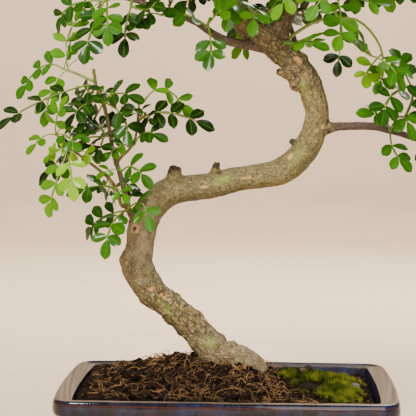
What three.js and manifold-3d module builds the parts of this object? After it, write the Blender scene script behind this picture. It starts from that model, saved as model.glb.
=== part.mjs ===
// Japanese pepper bonsai: a curving trunk with pinnate leaves, planted in a glazed pot.
// Millimetres, +Z up. The pot's feet stand on z = 0, and -Y is the side that faces the viewer.
import * as THREE from "three";
import { mergeVertices } from "three/addons/utils/BufferGeometryUtils.js";
import Module from "manifold-3d";

const wasm = await Module();
wasm.setup();
const { Manifold, Mesh } = wasm;

// Driving sizes of the pot
const rimLength = 240;
const rimDepth = 170;
const potHeight = 69.6;
const rimFlat = 14;
const lipHeight = 12;
const cornerRadius = 17;
const sideBow = 2;
const footHeight = 8;
const potFloor = 14;
const drainRadius = 7;
const drainOffset = 55;

// Driving sizes of what fills it
const gap = 0.3;
const soilEdgeHeight = 63.6;
const moundHeight = 19.5;
const mossThickness = 4;
const screenSize = 26;
const screenThickness = 1;

// Driving sizes of the leaves
const leafletLength = 12.5;
const leafletHalfWidth = 3.9;
const rachisHalfWidth = 0.85;
const bladeThickness = 0.7;
const stemRadius = 1.0;
const leafSpacing = 3.8;
const longLeaf = 34;

const add = (a, b) => [a[0] + b[0], a[1] + b[1], a[2] + b[2]];
const sub = (a, b) => [a[0] - b[0], a[1] - b[1], a[2] - b[2]];
const scale = (a, k) => [a[0] * k, a[1] * k, a[2] * k];
const dot = (a, b) => a[0] * b[0] + a[1] * b[1] + a[2] * b[2];
const cross = (a, b) => [
  a[1] * b[2] - a[2] * b[1],
  a[2] * b[0] - a[0] * b[2],
  a[0] * b[1] - a[1] * b[0],
];
const unit = (a) => scale(a, 1 / Math.sqrt(dot(a, a)));
const radians = (degrees) => (degrees * Math.PI) / 180;

// A seeded draw between low and high
function makeDraw(seed) {
  let state = seed;
  return (low, high) => {
    state = (state * 48271) % 2147483647;
    return low + ((high - low) * state) / 2147483647;
  };
}

// Solids from points and faces, and back to three.js geometry
function solidFromFaces(points, faces) {
  return new Manifold(
    new Mesh({
      numProp: 3,
      vertProperties: new Float32Array(points.flat()),
      triVerts: new Uint32Array(faces.flat()),
    }),
  );
}

function solidFromGeometry(geometry) {
  const plain = geometry.clone();
  plain.deleteAttribute("normal");
  plain.deleteAttribute("uv");
  const merged = mergeVertices(plain, 1e-4);
  return new Manifold(
    new Mesh({
      numProp: 3,
      vertProperties: merged.attributes.position.array,
      triVerts: new Uint32Array(merged.index.array),
    }),
  );
}

function geometryFromSolid(solid) {
  const mesh = solid.getMesh();
  const geometry = new THREE.BufferGeometry();
  const positions = new Float32Array(mesh.numVert * 3);
  for (let i = 0; i < mesh.numVert; i++)
    positions.set(mesh.vertProperties.subarray(i * mesh.numProp, i * mesh.numProp + 3), i * 3);
  geometry.setAttribute("position", new THREE.BufferAttribute(positions, 3));
  geometry.setIndex(new THREE.BufferAttribute(mesh.triVerts, 1));
  const flat = geometry.toNonIndexed();
  flat.computeVertexNormals();
  return flat;
}

// A cut can leave a crumb on the far side of a branch, which is dropped
function largestBody(solid) {
  return solid.decompose().sort((a, b) => b.volume() - a.volume())[0];
}

// A closed skin over rings of equally many points, with a centre point at each end
function loftRings(rings, firstCentre, lastCentre) {
  const count = rings[0].length;
  const points = rings.flat();
  const first = points.push(firstCentre) - 1;
  const last = points.push(lastCentre) - 1;
  const faces = [];
  const top = (rings.length - 1) * count;
  for (let i = 0; i < count; i++) {
    const next = (i + 1) % count;
    faces.push([first, next, i], [last, top + i, top + next]);
    for (let ring = 0; ring < rings.length - 1; ring++) {
      const low = ring * count;
      const high = low + count;
      faces.push([low + i, low + next, high + next], [low + i, high + next, high + i]);
    }
  }
  return solidFromFaces(points, faces);
}

// Points [x, y, z, radius] on a smooth curve through hand-set points, about one step apart
function smoothPath(points, step) {
  const path = [];
  for (let i = 0; i < points.length - 1; i++) {
    const a = points[Math.max(i - 1, 0)];
    const b = points[i];
    const c = points[i + 1];
    const d = points[Math.min(i + 2, points.length - 1)];
    const span = sub(c, b);
    const count = Math.max(1, Math.round(Math.sqrt(dot(span, span)) / step));
    for (let k = 0; k < count; k++) {
      const t = k / count;
      path.push(
        b.map(
          (value, axis) =>
            value +
            0.5 * t * (c[axis] - a[axis]) +
            t * t * (a[axis] - 2.5 * value + 2 * c[axis] - 0.5 * d[axis]) +
            t * t * t * (1.5 * value - 0.5 * a[axis] - 1.5 * c[axis] + 0.5 * d[axis]),
        ),
      );
    }
  }
  path.push(points[points.length - 1]);
  return path;
}

// A round limb along such a path, its radius grown by extra
function limb(points, sides, step, extra = 0) {
  const path = smoothPath(points, step);
  let side = null;
  const rings = path.map((point, i) => {
    const before = path[Math.max(i - 1, 0)];
    const after = path[Math.min(i + 1, path.length - 1)];
    const along = unit(sub(after, before));
    const guess = side ?? (Math.abs(along[2]) > 0.9 ? [1, 0, 0] : [0, 0, 1]);
    side = unit(sub(guess, scale(along, dot(guess, along))));
    const other = cross(along, side);
    const radius = point[3] + extra;
    return Array.from({ length: sides }, (_, k) => {
      const angle = (2 * Math.PI * k) / sides;
      const across = add(scale(side, radius * Math.cos(angle)), scale(other, radius * Math.sin(angle)));
      return add(point, across);
    });
  });
  const start = path[0];
  const end = path[path.length - 1];
  const back = unit(sub(start, path[1]));
  const ahead = unit(sub(end, path[path.length - 2]));
  return loftRings(
    rings,
    add(start, scale(back, 0.4 * start[3] + extra)),
    add(end, scale(ahead, 0.4 * end[3] + extra)),
  );
}

// The pot's outline: a rectangle with round corners and slightly bowed sides
const cornerSteps = 4;
const sideSteps = 2;
function potOutline(inset, z) {
  const halfX = rimLength / 2 - inset;
  const halfY = rimDepth / 2 - inset;
  const radius = Math.max(cornerRadius - inset, 4);
  const corners = [
    [1, -1, -90],
    [1, 1, 0],
    [-1, 1, 90],
    [-1, -1, 180],
  ];
  const points = [];
  corners.forEach(([signX, signY, startAngle], index) => {
    for (let i = 0; i <= cornerSteps; i++) {
      const angle = radians(startAngle + (90 * i) / cornerSteps);
      points.push([
        signX * (halfX - radius) + radius * Math.cos(angle),
        signY * (halfY - radius) + radius * Math.sin(angle),
        z,
      ]);
    }
    const alongY = index % 2 === 0;
    const reach = alongY ? halfY - radius : halfX - radius;
    for (let i = 1; i < sideSteps; i++) {
      const t = (2 * i) / sideSteps - 1;
      const out = sideBow * (1 - t * t);
      points.push(
        alongY
          ? [signX * (halfX + out), signX * t * reach, z]
          : [-signY * t * reach, signY * (halfY + out), z],
      );
    }
  });
  return points;
}

function makePot() {
  const profile = [
    [19, footHeight],
    [16, footHeight + 2.5],
    [9, potHeight - lipHeight - 5],
    [7, potHeight - lipHeight - 1],
    [0.6, potHeight - lipHeight + 1],
    [0, potHeight - 6],
    [0.4, potHeight - 1],
    [1.6, potHeight],
    [3.4, potHeight],
    [4.4, potHeight - 0.8],
    [rimFlat - 1, potHeight - 1],
    [rimFlat, potHeight - 2],
    [rimFlat + 1, potHeight - 8],
    [rimFlat + 6, potFloor + 2],
    [rimFlat + 8, potFloor],
  ];
  const body = loftRings(
    profile.map(([inset, z]) => potOutline(inset, z)),
    [0, 0, footHeight],
    [0, 0, potFloor],
  );
  const feet = [-1, 1].flatMap((signX) => [-1, 1].map((signY) => makeFoot(signX, signY)));
  const drain = new THREE.CylinderGeometry(drainRadius, drainRadius, potFloor + 2, 16).rotateX(Math.PI / 2);
  const drains = [-1, 1].map((sign) =>
    solidFromGeometry(drain).translate([sign * drainOffset, 0, potFloor / 2 + 1]),
  );
  return Manifold.union([body, ...feet]).subtract(Manifold.union(drains));
}

// A bracket foot: a corner block with its inner corner cut away
function makeFoot(signX, signY) {
  const shape = new THREE.Shape();
  shape.moveTo(0, 0);
  shape.lineTo(36, 0);
  shape.lineTo(33, 9);
  shape.lineTo(14, 11);
  shape.lineTo(11, 14);
  shape.lineTo(9, 29);
  shape.lineTo(0, 32);
  const block = new THREE.ExtrudeGeometry(shape, { depth: footHeight + 1, bevelEnabled: false });
  const turned = solidFromGeometry(block).translate([-rimLength / 2 + 20, -rimDepth / 2 + 20, 0]);
  const flipX = signX > 0 ? turned.mirror([1, 0, 0]) : turned;
  return signY > 0 ? flipX.mirror([0, 1, 0]) : flipX;
}

const makeBlock = (x, y, z) => solidFromGeometry(new THREE.BoxGeometry(x, y, z));

function makeScreen() {
  const holes = [];
  const pitch = screenSize / 4;
  for (const x of [-1, 0, 1])
    for (const y of [-1, 0, 1])
      holes.push(makeBlock(pitch - 2, pitch - 2, 4).translate([x * pitch, y * pitch, 0]));
  return makeBlock(screenSize, screenSize, screenThickness).subtract(Manifold.union(holes));
}

// The soil's surface: mounded round the trunk's foot, steeper on the right, and a little higher on the left
function soilTop(x, y) {
  const mound = moundHeight / (1 + ((x + 12) / (x < -12 ? 60 : 42)) ** 4 + ((y - 8) / 44) ** 4);
  return soilEdgeHeight - 0.022 * x + mound + 0.9 * Math.sin(0.11 * x + 1) * Math.cos(0.13 * y);
}

const soilWallTop = rimFlat + 1.3;
function makeSoilBody() {
  const edge = potOutline(soilWallTop, 0);
  const rings = [potOutline(rimFlat + 8.5, potFloor + gap), potOutline(rimFlat + 6.4, potFloor + 3)];
  for (const share of [1, 0.84, 0.68, 0.52, 0.36, 0.18])
    rings.push(edge.map(([x, y]) => [x * share, y * share, soilTop(x * share, y * share)]));
  return loftRings(rings, [0, 0, potFloor + gap], [0, 0, soilTop(0, 0)]);
}

// Coarse curled root fibres that lie half sunk in the soil
function makeFibres() {
  const draw = makeDraw(811);
  const fibres = [];
  while (fibres.length < 6) {
    const x = draw(-96, 20);
    const y = draw(-58, 40);
    const heading = draw(0, 360);
    const turn = draw(-50, 50);
    const length = draw(18, 34);
    const points = [0, 1, 2, 3].map((k) => {
      const angle = radians(heading + turn * k);
      const reach = (length * k) / 3;
      const px = x + reach * Math.cos(angle);
      const py = y + reach * Math.sin(angle);
      const lift = k === 0 || k === 3 ? -1 : 0.6;
      return [px, py, soilTop(px, py) + lift, 0.9];
    });
    const inside = points.every(([px, py]) => Math.abs(px) < 98 && Math.abs(py) < 62);
    if (inside) fibres.push(limb(points, 4, 20));
  }
  return fibres;
}

// The moss fills the right end of the pot and reaches further left at the back than at the front
const mossMiddle = (y) => 70 - 0.13 * y;
const mossHalfWidth = (y) => 30 + 0.08 * y;

function mossOutline(share, heightAt) {
  const points = [];
  for (let k = 0; k < 18; k++) {
    const angle = (2 * Math.PI * k) / 18;
    const wobble = 1 + 0.07 * Math.sin(3 * angle + 0.6) + 0.05 * Math.sin(5 * angle);
    const y = 2 + 60 * share * wobble * Math.sign(Math.sin(angle)) * Math.abs(Math.sin(angle)) ** 0.8;
    const across = share * wobble * Math.sign(Math.cos(angle)) * Math.abs(Math.cos(angle)) ** 0.8;
    const x = mossMiddle(y) + mossHalfWidth(y) * across;
    points.push([x, y, heightAt(x, y)]);
  }
  return points;
}

function mossTop(x, y, share) {
  const bumps = 0.8 * Math.sin(0.33 * x) * Math.cos(0.29 * y) + 0.6 * Math.sin(0.17 * x + 0.21 * y);
  const hump = 2.6 * Math.exp(-(((x - 48) / 24) ** 2) - ((y - 46) / 24) ** 2);
  return soilTop(x, y) + (mossThickness + bumps + hump) * (1 - share ** 4) - 0.6 * share ** 4;
}

function makeMossBody() {
  const rings = [mossOutline(1, () => soilEdgeHeight - 12)];
  for (const share of [1, 0.84, 0.56, 0.28])
    rings.push(mossOutline(share, (x, y) => mossTop(x, y, share)));
  return loftRings(rings, [70, 2, soilEdgeHeight - 12], [70, 2, mossTop(70, 2, 0)]);
}

// Trunk, limbs and woody branches, each as hand-set points [x, y, z, radius]
const woodLimbs = {
  trunk: [
    [2, 6, 48, 8], [-1, 6, 62, 11.5], [-5, 6, 78, 12.4], [-11, 6, 91, 12.2], [-17, 6, 98, 11.6],
    [-26, 6, 108, 11], [-44, 4, 125, 10.2], [-54, 2, 132, 10.7], [-61, 0, 142, 11.4], [-67, -2, 155, 12],
    [-65, -2, 168, 10.4], [-64, -1, 178, 10.8], [-61, 0, 189, 11], [-54, 1, 200, 11],
    [-44, 2, 208, 10.6], [-28, 3, 211, 9.7], [-12, 4, 213, 9.5], [4, 5, 217, 9.1], [23, 6, 220, 9.1],
    [38, 6, 224, 10.2], [49, 5, 232, 9.8], [59, 3, 247, 9.4], [63, 0, 265, 8.8], [60, -2, 278, 9.1],
    [55, -3, 291, 9.3], [44, -2, 304, 9.5], [32, 0, 314, 10.2],
  ],
  leftLimb: [
    [38, -1, 309, 8], [19, 2, 324, 10.6], [8, 6, 335, 9.8], [-2, 10, 346, 9.4], [-12, 16, 362, 8],
    [-17, 20, 381, 6], [-11, 22, 396, 4], [0, 22, 406, 2.6],
  ],
  rightLimb: [
    [36, 0, 308, 7], [36, 0, 325, 7.2], [41, 2, 337, 6.1], [44, 4, 345, 5.7], [50, 8, 361, 4.8],
    [59, 12, 377, 3.8], [70, 14, 388, 2.4],
  ],
  leftBranch: [
    [30, 0, 311, 4], [15, -4, 314, 3.6], [-1, -8, 317, 3.3], [-12, -12, 322, 2.9], [-24, -16, 330, 2.7],
    [-42, -20, 337, 2.5], [-58, -24, 342, 2.1], [-73, -28, 346, 1.8], [-88, -30, 346, 1.4],
  ],
  rightBranch: [
    [60, 1, 253, 6], [69, 0, 255, 5], [76, 0, 256, 3.5], [84, -2, 256.7, 3.1], [103, -4, 256.6, 2.9],
    [121, -6, 252.3, 2.6], [134, -8, 248, 2.2], [148, -9, 245, 1.6],
  ],
  lowShoot: [
    [-66, -4, 188, 4], [-71, -9, 192, 2.6], [-74, -15, 205, 2.2], [-78, -18, 222, 2],
    [-83, -18, 238, 1.8], [-86, -18, 256, 1.7], [-91, -18, 276, 1.6], [-95, -18, 284, 1.5],
    [-97, -18, 297, 1.4],
  ],
  lowShootRight: [
    [-82, -18, 228, 1.6], [-77, -18, 234, 1.4], [-70, -20, 241, 1.3], [-66, -21, 251, 1.2],
    [-64, -22, 274, 1.1],
  ],
  lowShootLeft: [
    [-73, -13, 198, 2], [-77, -20, 200, 1.7], [-79, -24, 209, 1.5], [-84, -27, 218, 1.4],
    [-95, -33, 228, 1.3], [-109, -38, 239, 1.2], [-115, -39, 244, 1],
  ],
  crownWest: [
    [-8, 14, 356, 5], [-34, 14, 372, 3.6], [-62, 8, 379, 2.8], [-92, 2, 378, 2], [-118, -4, 371, 1.4],
  ],
  crownNorthwest: [[-15, 19, 374, 4], [-36, 38, 386, 3], [-56, 52, 388, 2.2], [-74, 64, 381, 1.5]],
  crownNorth: [[-2, 10, 346, 5], [-4, 34, 360, 3.4], [-10, 50, 366, 2.4], [-8, 62, 362, 1.5]],
  crownSouth: [[-12, 16, 362, 4.6], [-20, -8, 378, 3], [-28, -34, 384, 2.2], [-30, -54, 377, 1.5]],
  crownTopWest: [[-16, 21, 386, 3.6], [-34, 18, 400, 2.6], [-58, 16, 403, 1.6]],
  crownEast: [[49, 8, 358, 4.2], [78, 6, 374, 3], [104, 2, 375, 2.2], [124, -4, 364, 1.4]],
  crownNortheast: [[45, 5, 350, 4.2], [62, 34, 364, 2.8], [82, 50, 366, 2], [95, 64, 356, 1.4]],
  crownSoutheast: [[42, 3, 340, 4.2], [54, -24, 354, 2.8], [68, -44, 362, 2], [80, -64, 354, 1.4]],
  northBranch: [[50, 6, 286, 5], [49, 26, 308, 3], [46, 44, 324, 2.2], [44, 60, 334, 1.5]],
  rootEast: [[-11, 5, 90, 11.2], [3, 3, 87, 10], [13, 1, 85, 9], [20, 0, 82.5, 7], [27, 0, 77, 4]],
  rootNorth: [[-8, 10, 88, 9], [-4, 24, 83, 5], [2, 36, 75, 2.8]],
  cutStub: [[47, -4, 290, 4.2], [41, -8, 293, 3.4], [34, -12, 296, 2.8]],
  knobAbove: [[-11, 4, 219, 4.5], [-10, 3, 226, 3.2], [-9, 3, 230, 2.2]],
  knobInner: [[54, 3, 241, 5], [48, 2, 244, 3.4], [44, 1, 246, 2.2]],
  knobBend: [[-41, 2, 213, 7], [-40, 1, 222, 5.4], [-39, 1, 227, 4]],
  swelling: [[44, -5, 288, 3], [47, -5, 286, 5], [51, -5, 283, 3]],
};

function makeWood(extra = 0) {
  const limbs = Object.values(woodLimbs).map((points) => {
    const thickest = Math.max(...points.map((point) => point[3]));
    const sides = thickest > 10 ? 10 : thickest > 5 ? 6 : 5;
    return limb(points, sides, thickest > 5 ? 14 : 20, extra);
  });
  return Manifold.union(limbs);
}

// Leafy sprays that the viewer sees best: a stem that leaves the wood, and each leaf's middle and end
const shownSprays = [
  {
    tint: "old", stem: [[-95, -18, 284], [-101, -24, 285]],
    leaves: [[[-126, -36, 276], [-151, -46, 262]]],
  },
  {
    tint: "young", stem: [[-95, -18, 287], [-109, -13, 293], [-120, -12, 297]],
    leaves: [[[-134, -8, 299], [-148, -4, 285]], [[-126, -15, 284], [-131, -18, 267]],
      [[-118, -8, 313], [-112, -2, 331]]],
  },
  {
    tint: "green", stem: [[-90, -18, 272], [-89, -27, 274]],
    leaves: [[[-80, -36, 279], [-70, -42, 278]], [[-99, -38, 272], [-107, -46, 265]],
      [[-77, -22, 265], [-72, -26, 253]], [[-98, -8, 261], [-109, 4, 253]]],
  },
  {
    tint: "old", stem: [[-85, -18, 251], [-93, -13, 248]],
    leaves: [[[-111, -6, 243], [-131, 2, 223]]],
  },
  {
    tint: "young", stem: [[-115, -39, 244], [-120, -48, 251]],
    leaves: [[[-119, -54, 259], [-116, -57, 267]], [[-126, -50, 250], [-133, -54, 244]]],
  },
  {
    tint: "young", stem: [[-111, -38, 241], [-112, -46, 239]],
    leaves: [[[-109, -56, 229], [-107, -60, 217]], [[-119, -46, 220], [-124, -44, 203]]],
  },
  {
    tint: "green", stem: [[-81, -25, 213], [-82, -30, 212]],
    leaves: [[[-90, -38, 214], [-101, -44, 212]]],
  },
  {
    tint: "green", stem: [[-80, -18, 227], [-76, -26, 224]],
    leaves: [[[-68, -38, 228], [-60, -46, 223]]],
  },
  {
    tint: "green", stem: [[-72, -11, 195], [-73, -18, 196]],
    leaves: [[[-63, -28, 202], [-57, -34, 194]], [[-81, -32, 189], [-85, -38, 176]],
      [[-89, -12, 191], [-100, -4, 182]]],
  },
  {
    tint: "old", stem: [[-65, -21, 260], [-60, -25, 263]],
    leaves: [[[-45, -28, 266], [-23, -28, 260]]],
  },
  {
    tint: "green", stem: [[-64, -22, 272], [-60, -26, 274]],
    leaves: [[[-48, -20, 283], [-34, -12, 272]]],
  },
  {
    tint: "green", stem: [[-70, -20, 242], [-67, -24, 243]],
    leaves: [[[-61, -30, 251], [-53, -34, 251]]],
  },
  {
    tint: "green", stem: [[-83, -29, 346], [-88, -34, 343]],
    leaves: [[[-94, -42, 327], [-98, -48, 312]], [[-108, -30, 342], [-119, -26, 333]],
      [[-84, -50, 334], [-83, -56, 324]]],
  },
  {
    tint: "old", stem: [[-69, -27, 345], [-69, -33, 339]],
    leaves: [[[-71, -42, 329], [-72, -46, 317]], [[-58, -44, 337], [-50, -50, 342]]],
  },
  {
    tint: "green", stem: [[-45, -20, 337], [-48, -27, 334]],
    leaves: [[[-56, -34, 335], [-63, -40, 330]], [[-41, -36, 341], [-37, -42, 351]]],
  },
  {
    tint: "green", stem: [[-18, -13, 326], [-15, -26, 328]],
    leaves: [[[-13, -32, 315], [-13, -36, 307]], [[-11, -38, 332], [-5, -42, 337]],
      [[-25, -34, 332], [-33, -38, 334]]],
  },
  {
    tint: "green", stem: [[24, 0, 325], [23, -14, 336]],
    leaves: [[[19, -26, 338], [17, -34, 331]], [[7, -24, 342], [0, -30, 336]],
      [[33, -22, 344], [38, -26, 351]]],
  },
  {
    tint: "young",
    stem: [[39, 0, 317], [50, -9, 325], [64, -14, 332], [77, -17, 333],
      [89, -20, 332], [99, -22, 324], [106, -24, 313], [108, -24, 304]],
    leaves: [[[108, -30, 296], [106, -34, 289]], [[115, -20, 301], [121, -18, 297]],
      [[99, -30, 299], [96, -34, 293]]],
  },
  {
    tint: "green",
    stem: [[38, 2, 313], [50, -10, 317], [65, -24, 322],
      [79, -34, 321], [90, -38, 312], [99, -38, 306]],
    leaves: [[[109, -42, 301], [116, -44, 293]], [[93, -50, 314], [87, -58, 316]]],
  },
  {
    tint: "green", stem: [[68, -44, 362], [73, -48, 351]],
    leaves: [[[76, -62, 332], [75, -72, 318]], [[88, -50, 345], [98, -50, 342]]],
  },
  {
    tint: "old", stem: [[54, -24, 354], [70, -26, 342], [78, -24, 329], [79, -20, 319]],
    leaves: [[[78, -20, 311], [77, -20, 303]]],
  },
  {
    tint: "green", stem: [[41, -2, 310], [44, -12, 314]],
    leaves: [[[51, -30, 315], [58, -38, 314]]],
  },
  {
    tint: "green", stem: [[122, -6, 252], [126, -12, 265], [130, -14, 276], [130, -14, 286]],
    leaves: [[[115, -32, 280], [108, -44, 269]], [[125, -6, 295], [121, 2, 304]],
      [[139, -8, 291], [145, -4, 281]]],
  },
  {
    tint: "green", stem: [[114, -5, 254], [115, -14, 254]],
    leaves: [[[109, -26, 263], [102, -32, 266]], [[116, -18, 242], [121, -20, 234]],
      [[120, -28, 264], [125, -34, 260]]],
  },
  {
    tint: "green", stem: [[132, -8, 249], [137, -14, 250]],
    leaves: [[[146, -22, 257], [157, -26, 260]], [[142, -20, 238], [146, -24, 226]],
      [[138, -22, 267], [134, -28, 277]]],
  },
  {
    tint: "young", stem: [[114, -1, 369], [112, -10, 362]],
    leaves: [[[110, -18, 354], [111, -22, 348]], [[123, -14, 356], [131, -16, 349]]],
  },
];

// Sprays along the crown's branches: how many on each, and the first one's tint
const crownBranches = [
  ["crownWest", 4, 0], ["crownNorthwest", 2, 1], ["crownNorth", 2, 2], ["crownSouth", 3, 0],
  ["crownTopWest", 2, 1], ["leftLimb", 1, 0], ["rightLimb", 1, 1], ["crownEast", 3, 2],
  ["crownNortheast", 3, 0], ["crownSoutheast", 3, 1], ["northBranch", 2, 2],
];
const tints = ["green", "young", "old"];

// Tries that turn a leaf clear of its neighbours, in degrees of heading and rise
const tries = [
  [0, 0], [32, 8], [-32, -8], [60, 16], [-60, 14], [95, -12], [-95, -14], [130, 30], [-130, 30], [180, 45],
];

// The curve of a leaf's rachis and the frame that its leaflets lie in
function rachisFrame(leaf, s) {
  const [start, middle, end] = leaf;
  const control = sub(scale(middle, 2), scale(add(start, end), 0.5));
  const point = add(add(scale(start, (1 - s) * (1 - s)), scale(control, 2 * s * (1 - s))), scale(end, s * s));
  const along = unit(add(scale(sub(control, start), 2 * (1 - s)), scale(sub(end, control), 2 * s)));
  const outward = unit([start[0] + 0.01, start[1] + 0.02, 0]);
  const lightSide = start[1] < 30 ? -0.8 : 0.8;
  const facing = [0.3 * outward[0], 0.3 * outward[1] + lightSide, 0.75];
  const side = unit(cross(along, facing));
  return { point, along, side, normal: cross(side, along) };
}

function inFrame(frame, along, side, up) {
  return add(
    add(frame.point, scale(frame.along, along)),
    add(scale(frame.side, side), scale(frame.normal, up)),
  );
}

// Points spread over a leaf, which keep it clear of wood and of other leaves
function leafSamples(leaf) {
  const samples = [];
  for (const s of [0.3, 0.46, 0.62, 0.78, 0.94]) {
    const frame = rachisFrame(leaf, s);
    samples.push(frame.point);
    for (const share of [0.35, 0.7, 1.05])
      for (const sign of [-1, 1]) {
        const reach = share * leafletLength;
        samples.push(inFrame(frame, 0.4 * reach, 0.9 * sign * reach, -0.1 * share));
      }
  }
  const tip = rachisFrame(leaf, 1);
  for (const share of [0.4, 0.8, 1.1]) samples.push(inFrame(tip, share * leafletLength, 0, 0));
  for (const sign of [-1, 1]) samples.push(inFrame(tip, 0.6 * leafletLength, sign * leafletHalfWidth, 0));
  return samples;
}

// Leaves spring one below the other from the last stretch of their stem
function leafRoot(stem, i) {
  const tip = stem[stem.length - 1];
  return add(tip, scale(sub(stem[stem.length - 2], tip), 0.03 + 0.2 * i));
}

// The whole plant's layout: sprays with their stems and leaves, placed clear of each other
function layOutSprays() {
  const obstacles = [];
  for (const points of Object.values(woodLimbs))
    for (const [x, y, z, radius] of smoothPath(points, 4)) obstacles.push([x, y, z, radius + 1.5, -1]);
  const sprays = shownSprays.map((spray) => ({
    tint: spray.tint,
    stem: spray.stem,
    leaves: spray.leaves.map(([middle, end], i) => [leafRoot(spray.stem, i), middle, end]),
  }));
  const draw = makeDraw(20417);
  for (const [name, count, firstTint] of crownBranches) {
    const branch = woodLimbs[name];
    for (let i = 0; i < count; i++) {
      const place = (branch.length - 1) * (1 - 0.27 * i);
      const index = Math.min(Math.floor(place), branch.length - 2);
      const from = branch[index];
      const to = branch[index + 1];
      const base = add(from, scale(sub(to, from), place - index));
      const run = sub(to, from);
      const side = i % 2 === 0 ? -1 : 1;
      const heading = Math.atan2(run[1], run[0]) + radians(i === 0 ? draw(-12, 12) : side * draw(45, 70));
      const rise = radians(draw(14, 40));
      const length = draw(13, 20);
      const reach = [Math.cos(heading) * Math.cos(rise), Math.sin(heading) * Math.cos(rise), Math.sin(rise)];
      const tip = add(base, scale(reach, length));
      const leaves = [];
      for (let k = 0; k < (i === 0 ? 3 : 2); k++) {
        const spread = k === 0 ? 0 : (k % 2 === 0 ? -1 : 1) * 75;
        leaves.push({
          heading: heading + radians(spread + draw(-15, 15)),
          rise: radians(draw(-8, 34)),
          length: draw(27, 37),
        });
      }
      sprays.push({ tint: tints[(firstTint + i) % 3], stem: [base, tip], planned: leaves });
    }
  }
  sprays.forEach((spray, owner) => {
    for (const [x, y, z] of smoothPath(spray.stem, 3)) obstacles.push([x, y, z, stemRadius + 2, owner]);
    for (const leaf of spray.leaves ?? [])
      for (const [x, y, z] of leafSamples(leaf)) obstacles.push([x, y, z, leafSpacing, owner]);
  });
  sprays.forEach((spray, owner) => {
    if (!spray.planned) return;
    spray.leaves = [];
    for (const { heading, rise, length } of spray.planned) {
      const root = leafRoot(spray.stem, spray.leaves.length);
      for (const [turn, lift] of tries) {
        const way = heading + radians(turn);
        const up = rise + radians(lift);
        const reach = [Math.cos(way) * Math.cos(up), Math.sin(way) * Math.cos(up), Math.sin(up)];
        const middle = add(root, scale(reach, 0.5 * length));
        const end = add(root, add(scale(reach, length), [0, 0, -0.2 * length]));
        const leaf = [root, middle, end];
        const samples = leafSamples(leaf);
        const clear = obstacles.every(([x, y, z, radius, other]) =>
          samples.every(([sx, sy, sz]) => {
            const near = (x - sx) ** 2 + (y - sy) ** 2 + (z - sz) ** 2;
            return other === owner ? near > 4 || radius < leafSpacing : near > radius * radius;
          }),
        );
        if (!clear) continue;
        spray.leaves.push(leaf);
        for (const [sx, sy, sz] of samples) obstacles.push([sx, sy, sz, leafSpacing, owner]);
        break;
      }
    }
  });
  return sprays.filter((spray) => spray.leaves.length > 0);
}

// One compound leaf as a thin blade: a winged rachis with leaflets in pairs and one at the end
function makeLeaf(leaf) {
  const chord = sub(leaf[2], leaf[0]);
  const pairs = Math.sqrt(dot(chord, chord)) > longLeaf ? 2 : 1;
  const upper = [];
  const lower = [];
  const place = (frame, along, side, drop) => {
    upper.push(inFrame(frame, along, side, -drop));
    lower.push(inFrame(frame, along, side, -drop - bladeThickness));
    return upper.length - 1;
  };
  // Near, tip and far point of a leaflet that leans from the rachis towards one side
  const leaflet = (frame, sign, lean) => {
    const out = (reach, across, drop) => {
      const along = reach * Math.cos(lean) + across * Math.sin(lean);
      const side = reach * Math.sin(lean) - across * Math.cos(lean);
      return place(frame, along, sign * side, drop);
    };
    return [
      out(0.6 * leafletLength, -leafletHalfWidth, 0.3),
      out(leafletLength, 0, 1.4),
      out(0.6 * leafletLength, leafletHalfWidth, 0.3),
    ];
  };
  const start = place(rachisFrame(leaf, 0), 0, 0, 0);
  const faces = [];
  const edges = { right: [start], left: [start] };
  for (let pair = 0; pair < pairs; pair++) {
    const frame = rachisFrame(leaf, (pair + 1) / (pairs + 0.15));
    for (const [name, sign] of [["right", 1], ["left", -1]]) {
      const edge = edges[name];
      const base = place(frame, -0.9, sign * rachisHalfWidth, 0);
      const points = leaflet(frame, sign, radians(62));
      const finish = place(frame, 0.9, sign * rachisHalfWidth, 0);
      const [near, tip, far] = points;
      const made = [
        [base, near, finish],
        [finish, near, far],
        [far, near, tip],
      ];
      faces.push(...made.map(([a, b, c]) => (sign > 0 ? [a, b, c] : [a, c, b])));
      edge.push(base, ...points, finish);
    }
    const right = edges.right.slice(-6);
    const left = edges.left.slice(-6);
    faces.push([right[1], right[5], left[5]], [right[1], left[5], left[1]]);
    if (pair === 0) faces.push([start, right[1], left[1]]);
    else faces.push([right[0], right[1], left[1]], [right[0], left[1], left[0]]);
  }
  const endRight = edges.right[edges.right.length - 1];
  const endLeft = edges.left[edges.left.length - 1];
  const [wideRight, tip, wideLeft] = leaflet(rachisFrame(leaf, 1), 1, 0);
  faces.push([endRight, wideRight, endLeft], [endLeft, wideRight, wideLeft], [wideLeft, wideRight, tip]);
  const loop = [...edges.right, wideRight, tip, wideLeft, ...edges.left.slice(1).reverse()];
  const count = upper.length;
  const skin = [...faces, ...faces.map(([a, b, c]) => [a + count, c + count, b + count])];
  loop.forEach((a, i) => {
    const b = loop[(i + 1) % loop.length];
    skin.push([a + count, b + count, b], [a + count, b, a]);
  });
  return solidFromFaces([...upper, ...lower], skin);
}

function makeSpray(spray, woodClear) {
  const last = spray.stem.length - 1;
  const stem = limb(
    spray.stem.map((point, i) => [point[0], point[1], point[2], stemRadius * (1.35 - (0.35 * i) / last)]),
    3,
    14,
  );
  return largestBody(Manifold.union([stem, ...spray.leaves.map(makeLeaf)]).subtract(woodClear));
}

const group = new THREE.Group();
function addNode(name, solid, colour, roughness) {
  const material = new THREE.MeshStandardMaterial({ color: colour, roughness, metalness: 0 });
  const mesh = new THREE.Mesh(geometryFromSolid(solid), material);
  mesh.name = name;
  group.add(mesh);
}

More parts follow.
